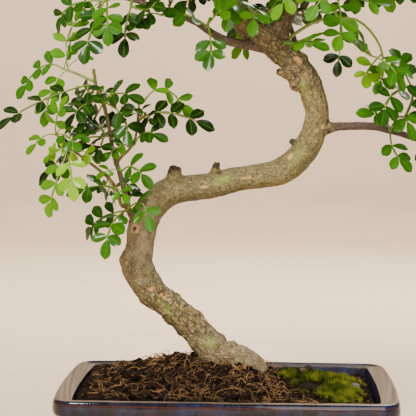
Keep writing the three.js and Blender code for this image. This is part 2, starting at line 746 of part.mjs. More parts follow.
const wood = makeWood();
const woodClear = makeWood(gap);
const screen = makeScreen();
const screens = [-1, 1].map((sign) =>
  screen.translate([sign * drainOffset, 0, potFloor + gap + screenThickness / 2]),
);
const screenSpace = [-1, 1].map((sign) =>
  makeBlock(screenSize + 2 * gap, screenSize + 2 * gap, screenThickness + 4 * gap).translate([
    sign * drainOffset,
    0,
    potFloor + gap + screenThickness / 2,
  ]),
);
const soilWhole = Manifold.union([makeSoilBody(), ...makeFibres()]);
const soil = largestBody(soilWhole.subtract(Manifold.union([woodClear, ...screenSpace])));
const ground = soilWhole.translate([0, 0, gap]);
const moss = largestBody(makeMossBody().subtract(Manifold.union([ground, woodClear])));
const mossRaised = moss.translate([0, 0, gap]);

addNode("pot", makePot(), 0x3a2f2c, 0.3);
addNode("drain_screen_west", screens[0], 0x2b2b2b, 0.6);
addNode("drain_screen_east", screens[1], 0x2b2b2b, 0.6);
addNode("soil", soil, 0x4a3524, 0.95);
addNode("moss", moss, 0x6f9a2a, 0.95);
addNode("wood", wood, 0x8a7c62, 0.8);

// Loose granules that lie on the moss
const granules = [
  ["fertiliser_pellet", 60, 50, 3.1, 0x4a2c1c, 0.75],
  ["clay_granule_red", 55, 32, 3.3, 0x8c4a30, 0.3],
  ["clay_granule_grey", 93, 7, 3.9, 0x6d6470, 0.2],
];
for (const [name, x, y, radius, colour, lift] of granules) {
  const share = Math.hypot((x - mossMiddle(y)) / mossHalfWidth(y), (y - 2) / 60);
  const ball = solidFromGeometry(new THREE.IcosahedronGeometry(radius, 1)).translate([
    x,
    y,
    mossTop(x, y, share) + lift * radius,
  ]);
  addNode(name, largestBody(ball.subtract(Manifold.union([ground, mossRaised]))), colour, 0.9);
}

const sprayColours = { young: 0x8fbf3a, green: 0x4f8f33, old: 0x2f5f2c };
const sprays = layOutSprays();
sprays.forEach((spray, i) => {
  const name = "leafy_spray_" + String(i + 1).padStart(2, "0");
  addNode(name, makeSpray(spray, woodClear), sprayColours[spray.tint], 0.4);
});

export default group;
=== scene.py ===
# Japanese pepper bonsai in its glazed pot: fine leaves, bark, soil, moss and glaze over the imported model
import math

import bpy
import numpy as np
from mathutils import Matrix, Vector, kdtree, noise


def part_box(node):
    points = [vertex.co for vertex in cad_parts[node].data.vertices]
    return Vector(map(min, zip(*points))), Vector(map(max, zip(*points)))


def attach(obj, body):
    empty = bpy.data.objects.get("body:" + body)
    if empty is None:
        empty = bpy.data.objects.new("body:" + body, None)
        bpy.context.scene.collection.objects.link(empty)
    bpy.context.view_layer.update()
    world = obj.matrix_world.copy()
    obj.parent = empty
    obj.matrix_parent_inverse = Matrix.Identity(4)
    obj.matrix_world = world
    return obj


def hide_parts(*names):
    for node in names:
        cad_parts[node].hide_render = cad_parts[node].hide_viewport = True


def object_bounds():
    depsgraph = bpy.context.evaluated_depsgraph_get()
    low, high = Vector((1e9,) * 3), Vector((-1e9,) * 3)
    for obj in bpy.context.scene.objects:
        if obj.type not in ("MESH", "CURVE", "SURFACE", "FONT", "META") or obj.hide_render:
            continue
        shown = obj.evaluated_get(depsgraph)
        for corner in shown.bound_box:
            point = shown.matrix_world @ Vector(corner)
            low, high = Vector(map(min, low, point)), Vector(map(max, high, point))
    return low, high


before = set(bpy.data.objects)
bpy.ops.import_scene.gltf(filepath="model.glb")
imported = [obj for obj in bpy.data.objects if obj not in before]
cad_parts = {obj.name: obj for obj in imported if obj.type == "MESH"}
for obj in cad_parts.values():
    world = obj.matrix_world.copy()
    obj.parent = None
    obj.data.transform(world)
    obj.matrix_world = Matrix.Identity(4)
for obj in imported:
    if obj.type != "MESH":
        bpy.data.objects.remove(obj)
cadBox = [list(corner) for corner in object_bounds()]
mm = 0.001  # the plant is laid out in millimetres, Blender works in metres
print("frame loaded:", len(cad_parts), "nodes")


# Small helpers for points, modifiers and selection
def makeDraw(seed):
    state = seed

    def draw(low, high):
        nonlocal state
        state = (state * 48271) % 2147483647
        return low + ((high - low) * state) / 2147483647

    return draw


def pick(*objects):
    bpy.ops.object.select_all(action="DESELECT")
    for one in objects:
        one.select_set(True)
    bpy.context.view_layer.objects.active = objects[0]


def startShape(kind, **settings):
    bpy.ops.object.select_all(action="DESELECT")
    getattr(bpy.ops.mesh, "primitive_" + kind + "_add")(**settings)
    return bpy.context.object


def linkPiece(name, data):
    piece = bpy.data.objects.new(name, data)
    bpy.context.scene.collection.objects.link(piece)
    return piece


def extrude(*move):
    bpy.ops.mesh.extrude_region_move(TRANSFORM_OT_translate={"value": move})


def narrow(x, y):
    bpy.ops.transform.resize(value=(x, y, 1), center_override=(0, 0, 0))


def faceOutward():
    bpy.ops.mesh.select_all(action="SELECT")
    bpy.ops.mesh.normals_make_consistent(inside=False)


def finishWith(piece, kind, **settings):
    pick(piece)
    modifier = piece.modifiers.new(kind.title(), kind)
    for name, value in settings.items():
        setattr(modifier, name, value)
    bpy.ops.object.modifier_apply(modifier=modifier.name)


def joinPieces(pieces, name):
    pick(*pieces)
    if len(pieces) > 1:
        bpy.ops.object.join()
    bpy.context.object.name = name
    return bpy.context.object


def readPoints(piece, field="co"):
    values = np.zeros(len(piece.data.vertices) * 3, np.float32)
    piece.data.vertices.foreach_get(field, values)
    return values.reshape(-1, 3).astype(float)


def writePoints(piece, points):
    piece.data.vertices.foreach_set("co", np.asarray(points, np.float32).ravel())
    piece.data.update()


def chooseFaces(piece, test):
    bpy.ops.object.mode_set(mode="OBJECT")
    bpy.context.tool_settings.mesh_select_mode = (False, False, True)
    for face in piece.data.polygons:
        face.select = bool(test(face))
    bpy.ops.object.mode_set(mode="EDIT")


def chooseEdges(piece, test):
    bpy.ops.object.mode_set(mode="OBJECT")
    bpy.context.tool_settings.mesh_select_mode = (False, True, False)
    for face in piece.data.polygons:
        face.select = False
    for edge in piece.data.edges:
        ends = [piece.data.vertices[i].co for i in edge.vertices]
        edge.select = bool(test(*ends))
    bpy.ops.object.mode_set(mode="EDIT")


def smoothShade(piece, angle=180):
    pick(piece)
    if angle >= 180:
        bpy.ops.object.shade_smooth()
    else:
        bpy.ops.object.shade_smooth_by_angle(angle=math.radians(angle))


def mark(piece, name, values, kind="FLOAT"):
    layer = piece.data.attributes.new(name, kind, "POINT")
    field = {"FLOAT": "value", "FLOAT_VECTOR": "vector", "FLOAT_COLOR": "color"}[kind]
    layer.data.foreach_set(field, np.asarray(values, np.float32).ravel())


def dress(piece, material, slotName):
    piece.data.materials.clear()
    piece.data.materials.append(material)
    return piece


def unit(vector):
    return vector / np.linalg.norm(vector)


# Small helpers for material nodes
def addNode(tree, kind, inputs=None, **settings):
    node = tree.nodes.new("ShaderNode" + kind)
    for name, value in settings.items():
        setattr(node, name, value)
    feed(tree, node, inputs or {})
    return node


def feed(tree, node, inputs):
    for socket, value in inputs.items():
        if isinstance(value, bpy.types.NodeSocket):
            tree.links.new(value, node.inputs[socket])
        else:
            node.inputs[socket].default_value = value


def mixColours(tree, factor, first, second, blend="MIX"):
    settings = {"data_type": "RGBA", "blend_type": blend, "clamp_factor": True}
    return addNode(tree, "Mix", {0: factor, 6: first, 7: second}, **settings).outputs[2]


def calculate(tree, operation, first, second=0.0, third=0.0):
    return addNode(tree, "Math", {0: first, 1: second, 2: third}, operation=operation).outputs[0]


def times(tree, value, factor, plus=None):
    if plus is None:
        return calculate(tree, "MULTIPLY", value, factor)
    return calculate(tree, "MULTIPLY_ADD", value, factor, plus)


def combine(tree, operation, first, second):
    return addNode(tree, "VectorMath", {0: first, 1: second}, operation=operation).outputs[0]


def remap(tree, value, low, high, toLow=0.0, toHigh=1.0):
    return addNode(tree, "MapRange", {
        "Value": value, "From Min": low, "From Max": high, "To Min": toLow, "To Max": toHigh,
    }).outputs[0]


def cloudy(tree, place, scale, detail, roughness=0.5):
    return addNode(tree, "TexNoise", {
        "Vector": place, "Scale": scale, "Detail": detail, "Roughness": roughness,
    }).outputs[0]


def readMark(tree, name):
    return addNode(tree, "Attribute", attribute_name=name).outputs


def ramp(tree, value, stops):
    node = addNode(tree, "ValToRGB", {"Fac": value})
    while len(node.color_ramp.elements) < len(stops):
        node.color_ramp.elements.new(0.5)
    for element, (place, colour) in zip(node.color_ramp.elements, stops):
        element.position = place
        element.color = colour
    return node.outputs["Color"]


def startGroup(name, inputs, outputs):
    tree = bpy.data.node_groups.new(name, "ShaderNodeTree")
    for direction, sockets in (("INPUT", inputs), ("OUTPUT", outputs)):
        for label, kind in sockets:
            tree.interface.new_socket(label, in_out=direction, socket_type="NodeSocket" + kind)
    source = tree.nodes.new("NodeGroupInput").outputs
    result = tree.nodes.new("NodeGroupOutput")
    return tree, source, result


def useGroup(tree, group, inputs):
    node = tree.nodes.new("ShaderNodeGroup")
    node.node_tree = group
    feed(tree, node, inputs)
    return node.outputs


def startMaterial(name, sockets):
    material = bpy.data.materials.new(name)
    material.use_nodes = True
    shader = material.node_tree.nodes["Principled BSDF"]
    feed(material.node_tree, shader, sockets)
    return material, material.node_tree, shader


def objectPlace(tree):
    return addNode(tree, "TexCoord").outputs["Object"]


def bump(tree, shader, height, strength, distance):
    node = addNode(tree, "Bump", {"Height": height, "Strength": strength, "Distance": distance})
    tree.links.new(node.outputs["Normal"], shader.inputs["Normal"])


# Soft patches of two colours, used by every finish
def makePatches():
    tree, source, result = startGroup(
        "softPatches",
        [("Vector", "Vector"), ("Scale", "Float"), ("Detail", "Float"), ("Low", "Float"), ("High", "Float"),
         ("First", "Color"), ("Second", "Color")],
        [("Colour", "Color"), ("Mask", "Float")],
    )
    cloud = cloudy(tree, source["Vector"], source["Scale"], source["Detail"], 0.6)
    mask = remap(tree, cloud, source["Low"], source["High"])
    feed(tree, result, {"Colour": mixColours(tree, mask, source["First"], source["Second"]), "Mask": mask})
    return tree


# Cracks and fibres drawn out along one direction, for the bark
def makeFissures():
    tree, source, result = startGroup(
        "fissures",
        [("Vector", "Vector"), ("Stretch", "Vector"), ("Scale", "Float"), ("Wander", "Float")],
        [("Mask", "Float"), ("Height", "Float")],
    )
    drawn = combine(tree, "MULTIPLY", source["Vector"], source["Stretch"])
    drift = addNode(tree, "TexNoise", {"Vector": drawn, "Scale": 0.6, "Detail": 2.0})
    shift = combine(tree, "SUBTRACT", drift.outputs["Color"], (0.5, 0.5, 0.5))
    sway = addNode(tree, "VectorMath", {0: shift, "Scale": source["Wander"]}, operation="SCALE")
    moved = combine(tree, "ADD", drawn, sway.outputs[0])
    cells = addNode(tree, "TexVoronoi", {"Vector": moved, "Scale": source["Scale"]},
                    feature="DISTANCE_TO_EDGE")
    crack = remap(tree, cells.outputs["Distance"], 0.0, 0.16)
    fine = cloudy(tree, moved, times(tree, source["Scale"], 2.6), 5.0, 0.65)
    feed(tree, result, {"Mask": crack, "Height": times(tree, fine, 0.7, times(tree, crack, 0.5))})
    return tree


patches = makePatches()
fissures = makeFissures()


# What the finishes share: soft patches, paint laid over a colour in patches, and a fine relief
def blotches(tree, place, scale, detail, low, high, first=(0, 0, 0, 1), second=(1, 1, 1, 1)):
    return useGroup(tree, patches, {
        "Vector": place, "Scale": scale, "Detail": detail, "Low": low, "High": high,
        "First": first, "Second": second,
    })


def cover(tree, colour, place, scale, detail, low, high, share, paint):
    mask = blotches(tree, place, scale, detail, low, high)["Mask"]
    return mixColours(tree, times(tree, mask, share), colour, paint)


def grain(tree, shader, place, scale, detail, strength, distance, roughness=0.5):
    bump(tree, shader, cloudy(tree, place, scale, detail, roughness), strength, distance)


# The layout of wood and leaves, in millimetres
leafletLength = 12.5
leafletHalfWidth = 3.9
stemRadius = 1.0
leafSpacing = 3.8

woodLimbs = {
    "trunk": [
        [2, 6, 48, 8], [-1, 6, 62, 11.5], [-5, 6, 78, 12.4], [-11, 6, 91, 12.2], [-17, 6, 98, 11.6],
        [-26, 6, 108, 11], [-44, 4, 125, 10.2], [-54, 2, 132, 10.7], [-61, 0, 142, 11.4],
        [-67, -2, 155, 12], [-65, -2, 168, 10.4], [-64, -1, 178, 10.8], [-61, 0, 189, 11],
        [-54, 1, 200, 11], [-44, 2, 208, 10.6], [-28, 3, 211, 9.7], [-12, 4, 213, 9.5], [4, 5, 217, 9.1],
        [23, 6, 220, 9.1], [38, 6, 224, 10.2], [49, 5, 232, 9.8], [59, 3, 247, 9.4], [63, 0, 265, 8.8],
        [60, -2, 278, 9.1], [55, -3, 291, 9.3], [44, -2, 304, 9.5], [32, 0, 314, 10.2],
    ],
    "leftLimb": [
        [38, -1, 309, 8], [19, 2, 324, 10.6], [8, 6, 335, 9.8], [-2, 10, 346, 9.4], [-12, 16, 362, 8],
        [-17, 20, 381, 6], [-11, 22, 396, 4], [0, 22, 406, 2.6],
    ],
    "rightLimb": [
        [36, 0, 308, 7], [36, 0, 325, 7.2], [41, 2, 337, 6.1], [44, 4, 345, 5.7], [50, 8, 361, 4.8],
        [59, 12, 377, 3.8], [70, 14, 388, 2.4],
    ],
    "leftBranch": [
        [30, 0, 311, 4], [15, -4, 314, 3.6], [-1, -8, 317, 3.3], [-12, -12, 322, 2.9],
        [-24, -16, 330, 2.7], [-42, -20, 337, 2.5], [-58, -24, 342, 2.1], [-73, -28, 346, 1.8],
        [-88, -30, 346, 1.4],
    ],
    "rightBranch": [
        [60, 1, 253, 6], [69, 0, 255, 5], [76, 0, 256, 3.5], [84, -2, 256.7, 3.1], [103, -4, 256.6, 2.9],
        [121, -6, 252.3, 2.6], [134, -8, 248, 2.2], [148, -9, 245, 1.6],
    ],
    "lowShoot": [
        [-66, -4, 188, 4], [-71, -9, 192, 2.6], [-74, -15, 205, 2.2], [-78, -18, 222, 2],
        [-83, -18, 238, 1.8], [-86, -18, 256, 1.7], [-91, -18, 276, 1.6], [-95, -18, 284, 1.5],
        [-97, -18, 297, 1.4],
    ],
    "lowShootRight": [
        [-82, -18, 228, 1.6], [-77, -18, 234, 1.4], [-70, -20, 241, 1.3], [-66, -21, 251, 1.2],
        [-64, -22, 274, 1.1],
    ],
    "lowShootLeft": [
        [-73, -13, 198, 2], [-77, -20, 200, 1.7], [-79, -24, 209, 1.5], [-84, -27, 218, 1.4],
        [-95, -33, 228, 1.3], [-109, -38, 239, 1.2], [-115, -39, 244, 1],
    ],
    "crownWest": [
        [-8, 14, 356, 5], [-34, 14, 372, 3.6], [-62, 8, 379, 2.8], [-92, 2, 378, 2],
        [-118, -4, 371, 1.4],
    ],
    "crownNorthwest": [[-15, 19, 374, 4], [-36, 38, 386, 3], [-56, 52, 388, 2.2], [-74, 64, 381, 1.5]],
    "crownNorth": [[-2, 10, 346, 5], [-4, 34, 360, 3.4], [-10, 50, 366, 2.4], [-8, 62, 362, 1.5]],
    "crownSouth": [[-12, 16, 362, 4.6], [-20, -8, 378, 3], [-28, -34, 384, 2.2], [-30, -54, 377, 1.5]],
    "crownTopWest": [[-16, 21, 386, 3.6], [-34, 18, 400, 2.6], [-58, 16, 403, 1.6]],
    "crownEast": [[49, 8, 358, 4.2], [78, 6, 374, 3], [104, 2, 375, 2.2], [124, -4, 364, 1.4]],
    "crownNortheast": [[45, 5, 350, 4.2], [62, 34, 364, 2.8], [82, 50, 366, 2], [95, 64, 356, 1.4]],
    "crownSoutheast": [[42, 3, 340, 4.2], [54, -24, 354, 2.8], [68, -44, 362, 2], [80, -64, 354, 1.4]],
    "northBranch": [[50, 6, 286, 5], [49, 26, 308, 3], [46, 44, 324, 2.2], [44, 60, 334, 1.5]],
    "rootEast": [[-11, 5, 90, 11.2], [3, 3, 87, 10], [13, 1, 85, 9], [20, 0, 82.5, 7], [27, 0, 77, 4]],
    "rootNorth": [[-8, 10, 88, 9], [-4, 24, 83, 5], [2, 36, 75, 2.8]],
    "cutStub": [[47, -4, 290, 4.2], [41, -8, 293, 3.4], [34, -12, 296, 2.8]],
    "knobAbove": [[-11, 4, 219, 4.5], [-10, 3, 226, 3.2], [-9, 3, 230, 2.2]],
    "knobInner": [[54, 3, 241, 5], [48, 2, 244, 3.4], [44, 1, 246, 2.2]],
    "knobBend": [[-41, 2, 213, 7], [-40, 1, 222, 5.4], [-39, 1, 227, 4]],
    "swelling": [[44, -5, 288, 3], [47, -5, 286, 5], [51, -5, 283, 3]],
}

shownSprays = [
    {"tint": "old", "stem": [[-95, -18, 284], [-101, -24, 285]],
     "leaves": [([-126, -36, 276], [-151, -46, 262])]},
    {"tint": "young", "stem": [[-95, -18, 287], [-109, -13, 293], [-120, -12, 297]],
     "leaves": [([-134, -8, 299], [-148, -4, 285]), ([-126, -15, 284], [-131, -18, 267]),
        ([-118, -8, 313], [-112, -2, 331])]},
    {"tint": "green", "stem": [[-90, -18, 272], [-89, -27, 274]],
     "leaves": [([-80, -36, 279], [-70, -42, 278]), ([-99, -38, 272], [-107, -46, 265]),
        ([-77, -22, 265], [-72, -26, 253]), ([-98, -8, 261], [-109, 4, 253])]},
    {"tint": "old", "stem": [[-85, -18, 251], [-93, -13, 248]],
     "leaves": [([-111, -6, 243], [-131, 2, 223])]},
    {"tint": "young", "stem": [[-115, -39, 244], [-120, -48, 251]],
     "leaves": [([-119, -54, 259], [-116, -57, 267]), ([-126, -50, 250], [-133, -54, 244])]},
    {"tint": "young", "stem": [[-111, -38, 241], [-112, -46, 239]],
     "leaves": [([-109, -56, 229], [-107, -60, 217]), ([-119, -46, 220], [-124, -44, 203])]},
    {"tint": "green", "stem": [[-81, -25, 213], [-82, -30, 212]],
     "leaves": [([-90, -38, 214], [-101, -44, 212])]},
    {"tint": "green", "stem": [[-80, -18, 227], [-76, -26, 224]],
     "leaves": [([-68, -38, 228], [-60, -46, 223])]},
    {"tint": "green", "stem": [[-72, -11, 195], [-73, -18, 196]],
     "leaves": [([-63, -28, 202], [-57, -34, 194]), ([-81, -32, 189], [-85, -38, 176]),
        ([-89, -12, 191], [-100, -4, 182])]},
    {"tint": "old", "stem": [[-65, -21, 260], [-60, -25, 263]],
     "leaves": [([-45, -28, 266], [-23, -28, 260])]},
    {"tint": "green", "stem": [[-64, -22, 272], [-60, -26, 274]],
     "leaves": [([-48, -20, 283], [-34, -12, 272])]},
    {"tint": "green", "stem": [[-70, -20, 242], [-67, -24, 243]],
     "leaves": [([-61, -30, 251], [-53, -34, 251])]},
    {"tint": "green", "stem": [[-83, -29, 346], [-88, -34, 343]],
     "leaves": [([-94, -42, 327], [-98, -48, 312]), ([-108, -30, 342], [-119, -26, 333]),
        ([-84, -50, 334], [-83, -56, 324])]},
    {"tint": "old", "stem": [[-69, -27, 345], [-69, -33, 339]],
     "leaves": [([-71, -42, 329], [-72, -46, 317]), ([-58, -44, 337], [-50, -50, 342])]},
    {"tint": "green", "stem": [[-45, -20, 337], [-48, -27, 334]],
     "leaves": [([-56, -34, 335], [-63, -40, 330]), ([-41, -36, 341], [-37, -42, 351])]},
    {"tint": "green", "stem": [[-18, -13, 326], [-15, -26, 328]],
     "leaves": [([-13, -32, 315], [-13, -36, 307]), ([-11, -38, 332], [-5, -42, 337]),
        ([-25, -34, 332], [-33, -38, 334])]},
    {"tint": "green", "stem": [[24, 0, 325], [23, -14, 336]],
     "leaves": [([19, -26, 338], [17, -34, 331]), ([7, -24, 342], [0, -30, 336]),
        ([33, -22, 344], [38, -26, 351])]},
    {"tint": "young", "stem": [[39, 0, 317], [50, -9, 325], [64, -14, 332], [77, -17, 333],
        [89, -20, 332], [99, -22, 324], [106, -24, 313], [108, -24, 304]],
     "leaves": [([108, -30, 296], [106, -34, 289]), ([115, -20, 301], [121, -18, 297]),
        ([99, -30, 299], [96, -34, 293])]},
    {"tint": "green", "stem": [[38, 2, 313], [50, -10, 317], [65, -24, 322],
        [79, -34, 321], [90, -38, 312], [99, -38, 306]],
     "leaves": [([109, -42, 301], [116, -44, 293]), ([93, -50, 314], [87, -58, 316])]},
    {"tint": "green", "stem": [[68, -44, 362], [73, -48, 351]],
     "leaves": [([76, -62, 332], [75, -72, 318]), ([88, -50, 345], [98, -50, 342])]},
    {"tint": "old", "stem": [[54, -24, 354], [70, -26, 342], [78, -24, 329], [79, -20, 319]],
     "leaves": [([78, -20, 311], [77, -20, 303])]},
    {"tint": "green", "stem": [[41, -2, 310], [44, -12, 314]],
     "leaves": [([51, -30, 315], [58, -38, 314])]},
    {"tint": "green", "stem": [[122, -6, 252], [126, -12, 265], [130, -14, 276], [130, -14, 286]],
     "leaves": [([115, -32, 280], [108, -44, 269]), ([125, -6, 295], [121, 2, 304]),
        ([139, -8, 291], [145, -4, 281])]},
    {"tint": "green", "stem": [[114, -5, 254], [115, -14, 254]],
     "leaves": [([109, -26, 263], [102, -32, 266]), ([116, -18, 242], [121, -20, 234]),
        ([120, -28, 264], [125, -34, 260])]},
    {"tint": "green", "stem": [[132, -8, 249], [137, -14, 250]],
     "leaves": [([146, -22, 257], [157, -26, 260]), ([142, -20, 238], [146, -24, 226]),
        ([138, -22, 267], [134, -28, 277])]},
    {"tint": "young", "stem": [[114, -1, 369], [112, -10, 362]],
     "leaves": [([110, -18, 354], [111, -22, 348]), ([123, -14, 356], [131, -16, 349])]},
]

# Sprays along the crown's branches: how many on each, and the first one's tint
crownBranches = [
    ("crownWest", 4, 0), ("crownNorthwest", 2, 1), ("crownNorth", 2, 2), ("crownSouth", 3, 0),
    ("crownTopWest", 2, 1), ("leftLimb", 1, 0), ("rightLimb", 1, 1), ("crownEast", 3, 2),
    ("crownNortheast", 3, 0), ("crownSoutheast", 3, 1), ("northBranch", 2, 2),
]
tints = ["green", "young", "old"]
crownPlan = {
    "seed": 20417,
    "step": 0.27,
    "endTurn": (-12, 12),
    "sideTurn": (45, 70),
    "rise": (14, 40),
    "length": (13, 20),
    "fans": (0, 75, -75),
    "fanSway": (-15, 15),
    "leafRise": (-8, 34),
    "leafLength": (27, 37),
    "droop": 0.2,
}

# Turns and lifts in degrees that bring a leaf clear of its neighbours
tries = [
    (0, 0), (32, 8), (-32, -8), (60, 16), (-60, 14), (95, -12), (-95, -14), (130, 30), (-130, 30), (180, 45),
]


def vec(values):
    return np.array(values, float)


def smoothPath(points, step):
    points = [vec(point) for point in points]
    path = []
    for i in range(len(points) - 1):
        a, b, c = points[max(i - 1, 0)], points[i], points[i + 1]
        d = points[min(i + 2, len(points) - 1)]
        count = max(1, math.floor(np.linalg.norm((c - b)[:3]) / step + 0.5))
        for k in range(count):
            t = k / count
            path.append(
                b + 0.5 * t * (c - a) + t * t * (a - 2.5 * b + 2 * c - 0.5 * d)
                + t * t * t * (1.5 * b - 0.5 * a - 1.5 * c + 0.5 * d)
            )
    path.append(points[-1])
    return path


# The curve of a leaf's rachis and the frame that its leaflets lie in
def rachisFrame(leaf, s):
    start, middle, end = leaf
    control = 2 * middle - 0.5 * (start + end)
    point = start * (1 - s) ** 2 + control * 2 * s * (1 - s) + end * s * s
    along = unit((control - start) * 2 * (1 - s) + (end - control) * 2 * s)
    outward = unit(vec([start[0] + 0.01, start[1] + 0.02, 0]))
    lightSide = -0.8 if start[1] < 30 else 0.8
    facing = vec([0.3 * outward[0], 0.3 * outward[1] + lightSide, 0.75])
    side = unit(np.cross(along, facing))
    return point, along, side, np.cross(side, along)


def inFrame(place, along, side, up):
    return place[0] + along * place[1] + side * place[2] + up * place[3]


def leafSamples(leaf):
    samples = []
    for s in (0.3, 0.46, 0.62, 0.78, 0.94):
        place = rachisFrame(leaf, s)
        samples.append(place[0])
        for share in (0.35, 0.7, 1.05):
            for sign in (-1, 1):
                reach = share * leafletLength
                samples.append(inFrame(place, 0.4 * reach, 0.9 * sign * reach, -0.1 * share))
    tip = rachisFrame(leaf, 1)
    samples += [inFrame(tip, share * leafletLength, 0, 0) for share in (0.4, 0.8, 1.1)]
    samples += [inFrame(tip, 0.6 * leafletLength, sign * leafletHalfWidth, 0) for sign in (-1, 1)]
    return np.array(samples)


def leafRoot(stem, i):
    return stem[-1] + (stem[-2] - stem[-1]) * (0.03 + 0.2 * i)


def direction(heading, rise):
    return vec([math.cos(heading) * math.cos(rise), math.sin(heading) * math.cos(rise), math.sin(rise)])


# Everything that a new leaf keeps clear of: x, y, z, radius, owner
class Surroundings:
    def __init__(self):
        self.table = np.zeros((40000, 5))
        self.count = 0

    def add(self, points, radius, owner):
        for point in points:
            self.table[self.count] = [point[0], point[1], point[2], radius, owner]
            self.count += 1

    def clear(self, samples, owner, share=1.0):
        rows = self.table[: self.count]
        low, high = samples.min(axis=0) - 20, samples.max(axis=0) + 20
        rows = rows[((rows[:, :3] > low) & (rows[:, :3] < high)).all(axis=1)]
        near = ((rows[:, None, :3] - samples[None, :, :]) ** 2).sum(axis=2).min(axis=1)
        reach = rows[:, 3]
        fine = np.where(rows[:, 4] == owner, (near > 4) | (reach < leafSpacing), near > (share * reach) ** 2)
        return bool(fine.all())


surroundings = Surroundings()


# A new leaf takes the first of the tries in which it is clear of everything
def fitLeaf(spray, owner, root, heading, rise, length, droop, spacing=1.0, allowed=lambda samples: True):
    for turn, lift in tries:
        reach = direction(heading + math.radians(turn), rise + math.radians(lift))
        leaf = [root, root + reach * 0.5 * length, root + reach * length + vec([0, 0, -droop * length])]
        samples = leafSamples(leaf)
        if allowed(samples) and surroundings.clear(samples, owner, spacing):
            spray["leaves"].append(leaf)
            surroundings.add(samples, leafSpacing, owner)
            return


def planSpray(draw, branch, i, tint):
    place = (len(branch) - 1) * (1 - crownPlan["step"] * i)
    index = min(math.floor(place), len(branch) - 2)
    run = (branch[index + 1] - branch[index])[:3]
    base = branch[index][:3] + run * (place - index)
    side = -1 if i % 2 == 0 else 1
    turn = draw(*crownPlan["endTurn"]) if i == 0 else side * draw(*crownPlan["sideTurn"])
    heading = math.atan2(run[1], run[0]) + math.radians(turn)
    rise = math.radians(draw(*crownPlan["rise"]))
    length = draw(*crownPlan["length"])
    tip = base + direction(heading, rise) * length
    planned = []
    for fan in crownPlan["fans"][:3 if i == 0 else 2]:
        leafHeading = heading + math.radians(fan + draw(*crownPlan["fanSway"]))
        leafRise = math.radians(draw(*crownPlan["leafRise"]))
        planned.append((leafHeading, leafRise, draw(*crownPlan["leafLength"])))
    return {"tint": tint, "stem": [base, tip], "planned": planned, "leaves": [], "crown": True}


def layOutSprays():
    for points in woodLimbs.values():
        for point in smoothPath(points, 4):
            surroundings.add([point[:3]], point[3] + 1.5, -1)
    sprays = []
    for spray in shownSprays:
        stem = [vec(point) for point in spray["stem"]]
        leaves = [[leafRoot(stem, i), *map(vec, ends)] for i, ends in enumerate(spray["leaves"])]
        sprays.append({"tint": spray["tint"], "stem": stem, "leaves": leaves, "planned": [], "crown": False})
    draw = makeDraw(crownPlan["seed"])
    for name, count, firstTint in crownBranches:
        branch = [vec(point) for point in woodLimbs[name]]
        for i in range(count):
            sprays.append(planSpray(draw, branch, i, tints[(firstTint + i) % 3]))
    for owner, spray in enumerate(sprays):
        surroundings.add([point[:3] for point in smoothPath(spray["stem"], 3)], stemRadius + 2, owner)
        for leaf in spray["leaves"]:
            surroundings.add(leafSamples(leaf), leafSpacing, owner)
    for owner, spray in enumerate(sprays):
        for heading, rise, length in spray["planned"]:
            root = leafRoot(spray["stem"], len(spray["leaves"]))
            fitLeaf(spray, owner, root, heading, rise, length, crownPlan["droop"])
    for spray in sprays:
        spray["base"] = len(spray["leaves"])
    return [spray for spray in sprays if spray["leaves"]]


sprays = layOutSprays()
leafCount = sum(len(spray["leaves"]) for spray in sprays)
print("layout:", len(sprays), "sprays,", leafCount, "leaves of the solids")


# The camera stands where the photographer did
cameraPlan = {
    "place": (0.0238, -1.0889, 0.271),
    "yaw": 2.064,
    "pitch": 3.905,
    "roll": 0.309,
    "lens": 129.94,
    "sensor": 36,
    "pixels": 416,
}


def makeCamera():
    yaw, pitch, roll = (math.radians(cameraPlan[name]) for name in ("yaw", "pitch", "roll"))
    ahead = Vector((-math.sin(yaw) * math.cos(pitch), math.cos(yaw) * math.cos(pitch), -math.sin(pitch)))
    level = Vector((math.cos(yaw), math.sin(yaw), 0))
    raised = Vector((-math.sin(yaw) * math.sin(pitch), math.cos(yaw) * math.sin(pitch), math.cos(pitch)))
    right = math.cos(roll) * level + math.sin(roll) * raised
    up = -math.sin(roll) * level + math.cos(roll) * raised
    bpy.ops.object.camera_add()
    camera = bpy.context.object
    camera.name = "camera"
    camera.data.sensor_width = cameraPlan["sensor"]
    camera.data.lens = cameraPlan["lens"]
    camera.data.clip_start = 0.01
    turned = Matrix((right, up, -ahead)).transposed().to_4x4()
    camera.matrix_world = Matrix.Translation(cameraPlan["place"]) @ turned
    bpy.context.scene.camera = camera
    return ahead, right, up


ahead, right, up = makeCamera()


# Where points of the plant fall in the picture
def inPicture(points):
    away = points * mm - vec(cameraPlan["place"])
    far = away @ vec(ahead)
    focal = cameraPlan["lens"] / cameraPlan["sensor"] * cameraPlan["pixels"]
    middle = cameraPlan["pixels"] / 2
    across, down = focal * (away @ vec(right)) / far, focal * (away @ vec(up)) / far
    return np.stack([middle + across, middle - down], axis=1)


# More leaves fill the crown; they grow from the same stems and leave the trunk in view
fullness = {
    "seed": 5207,
    "crownLeaves": 5,
    "lowLeaves": 9,
    "lowSize": 0.84,
    "spacing": 0.62,
    "lowSpacing": 0.4,
    "lowestInPicture": 27,
    "rootShare": (0.05, 0.85),
    "rise": (-25, 62),
    "crownLength": (20, 34),
    "lowLength": (10, 20),
    "droop": 0.25,
    # middle and reach of the ovals that the low shoots fill in the picture
    "lowOvals": [
        (97, 122, 46, 50), (110, 205, 42, 38), (148, 118, 36, 30), (84, 30, 40, 40), (62, 160, 27, 58),
    ],
}


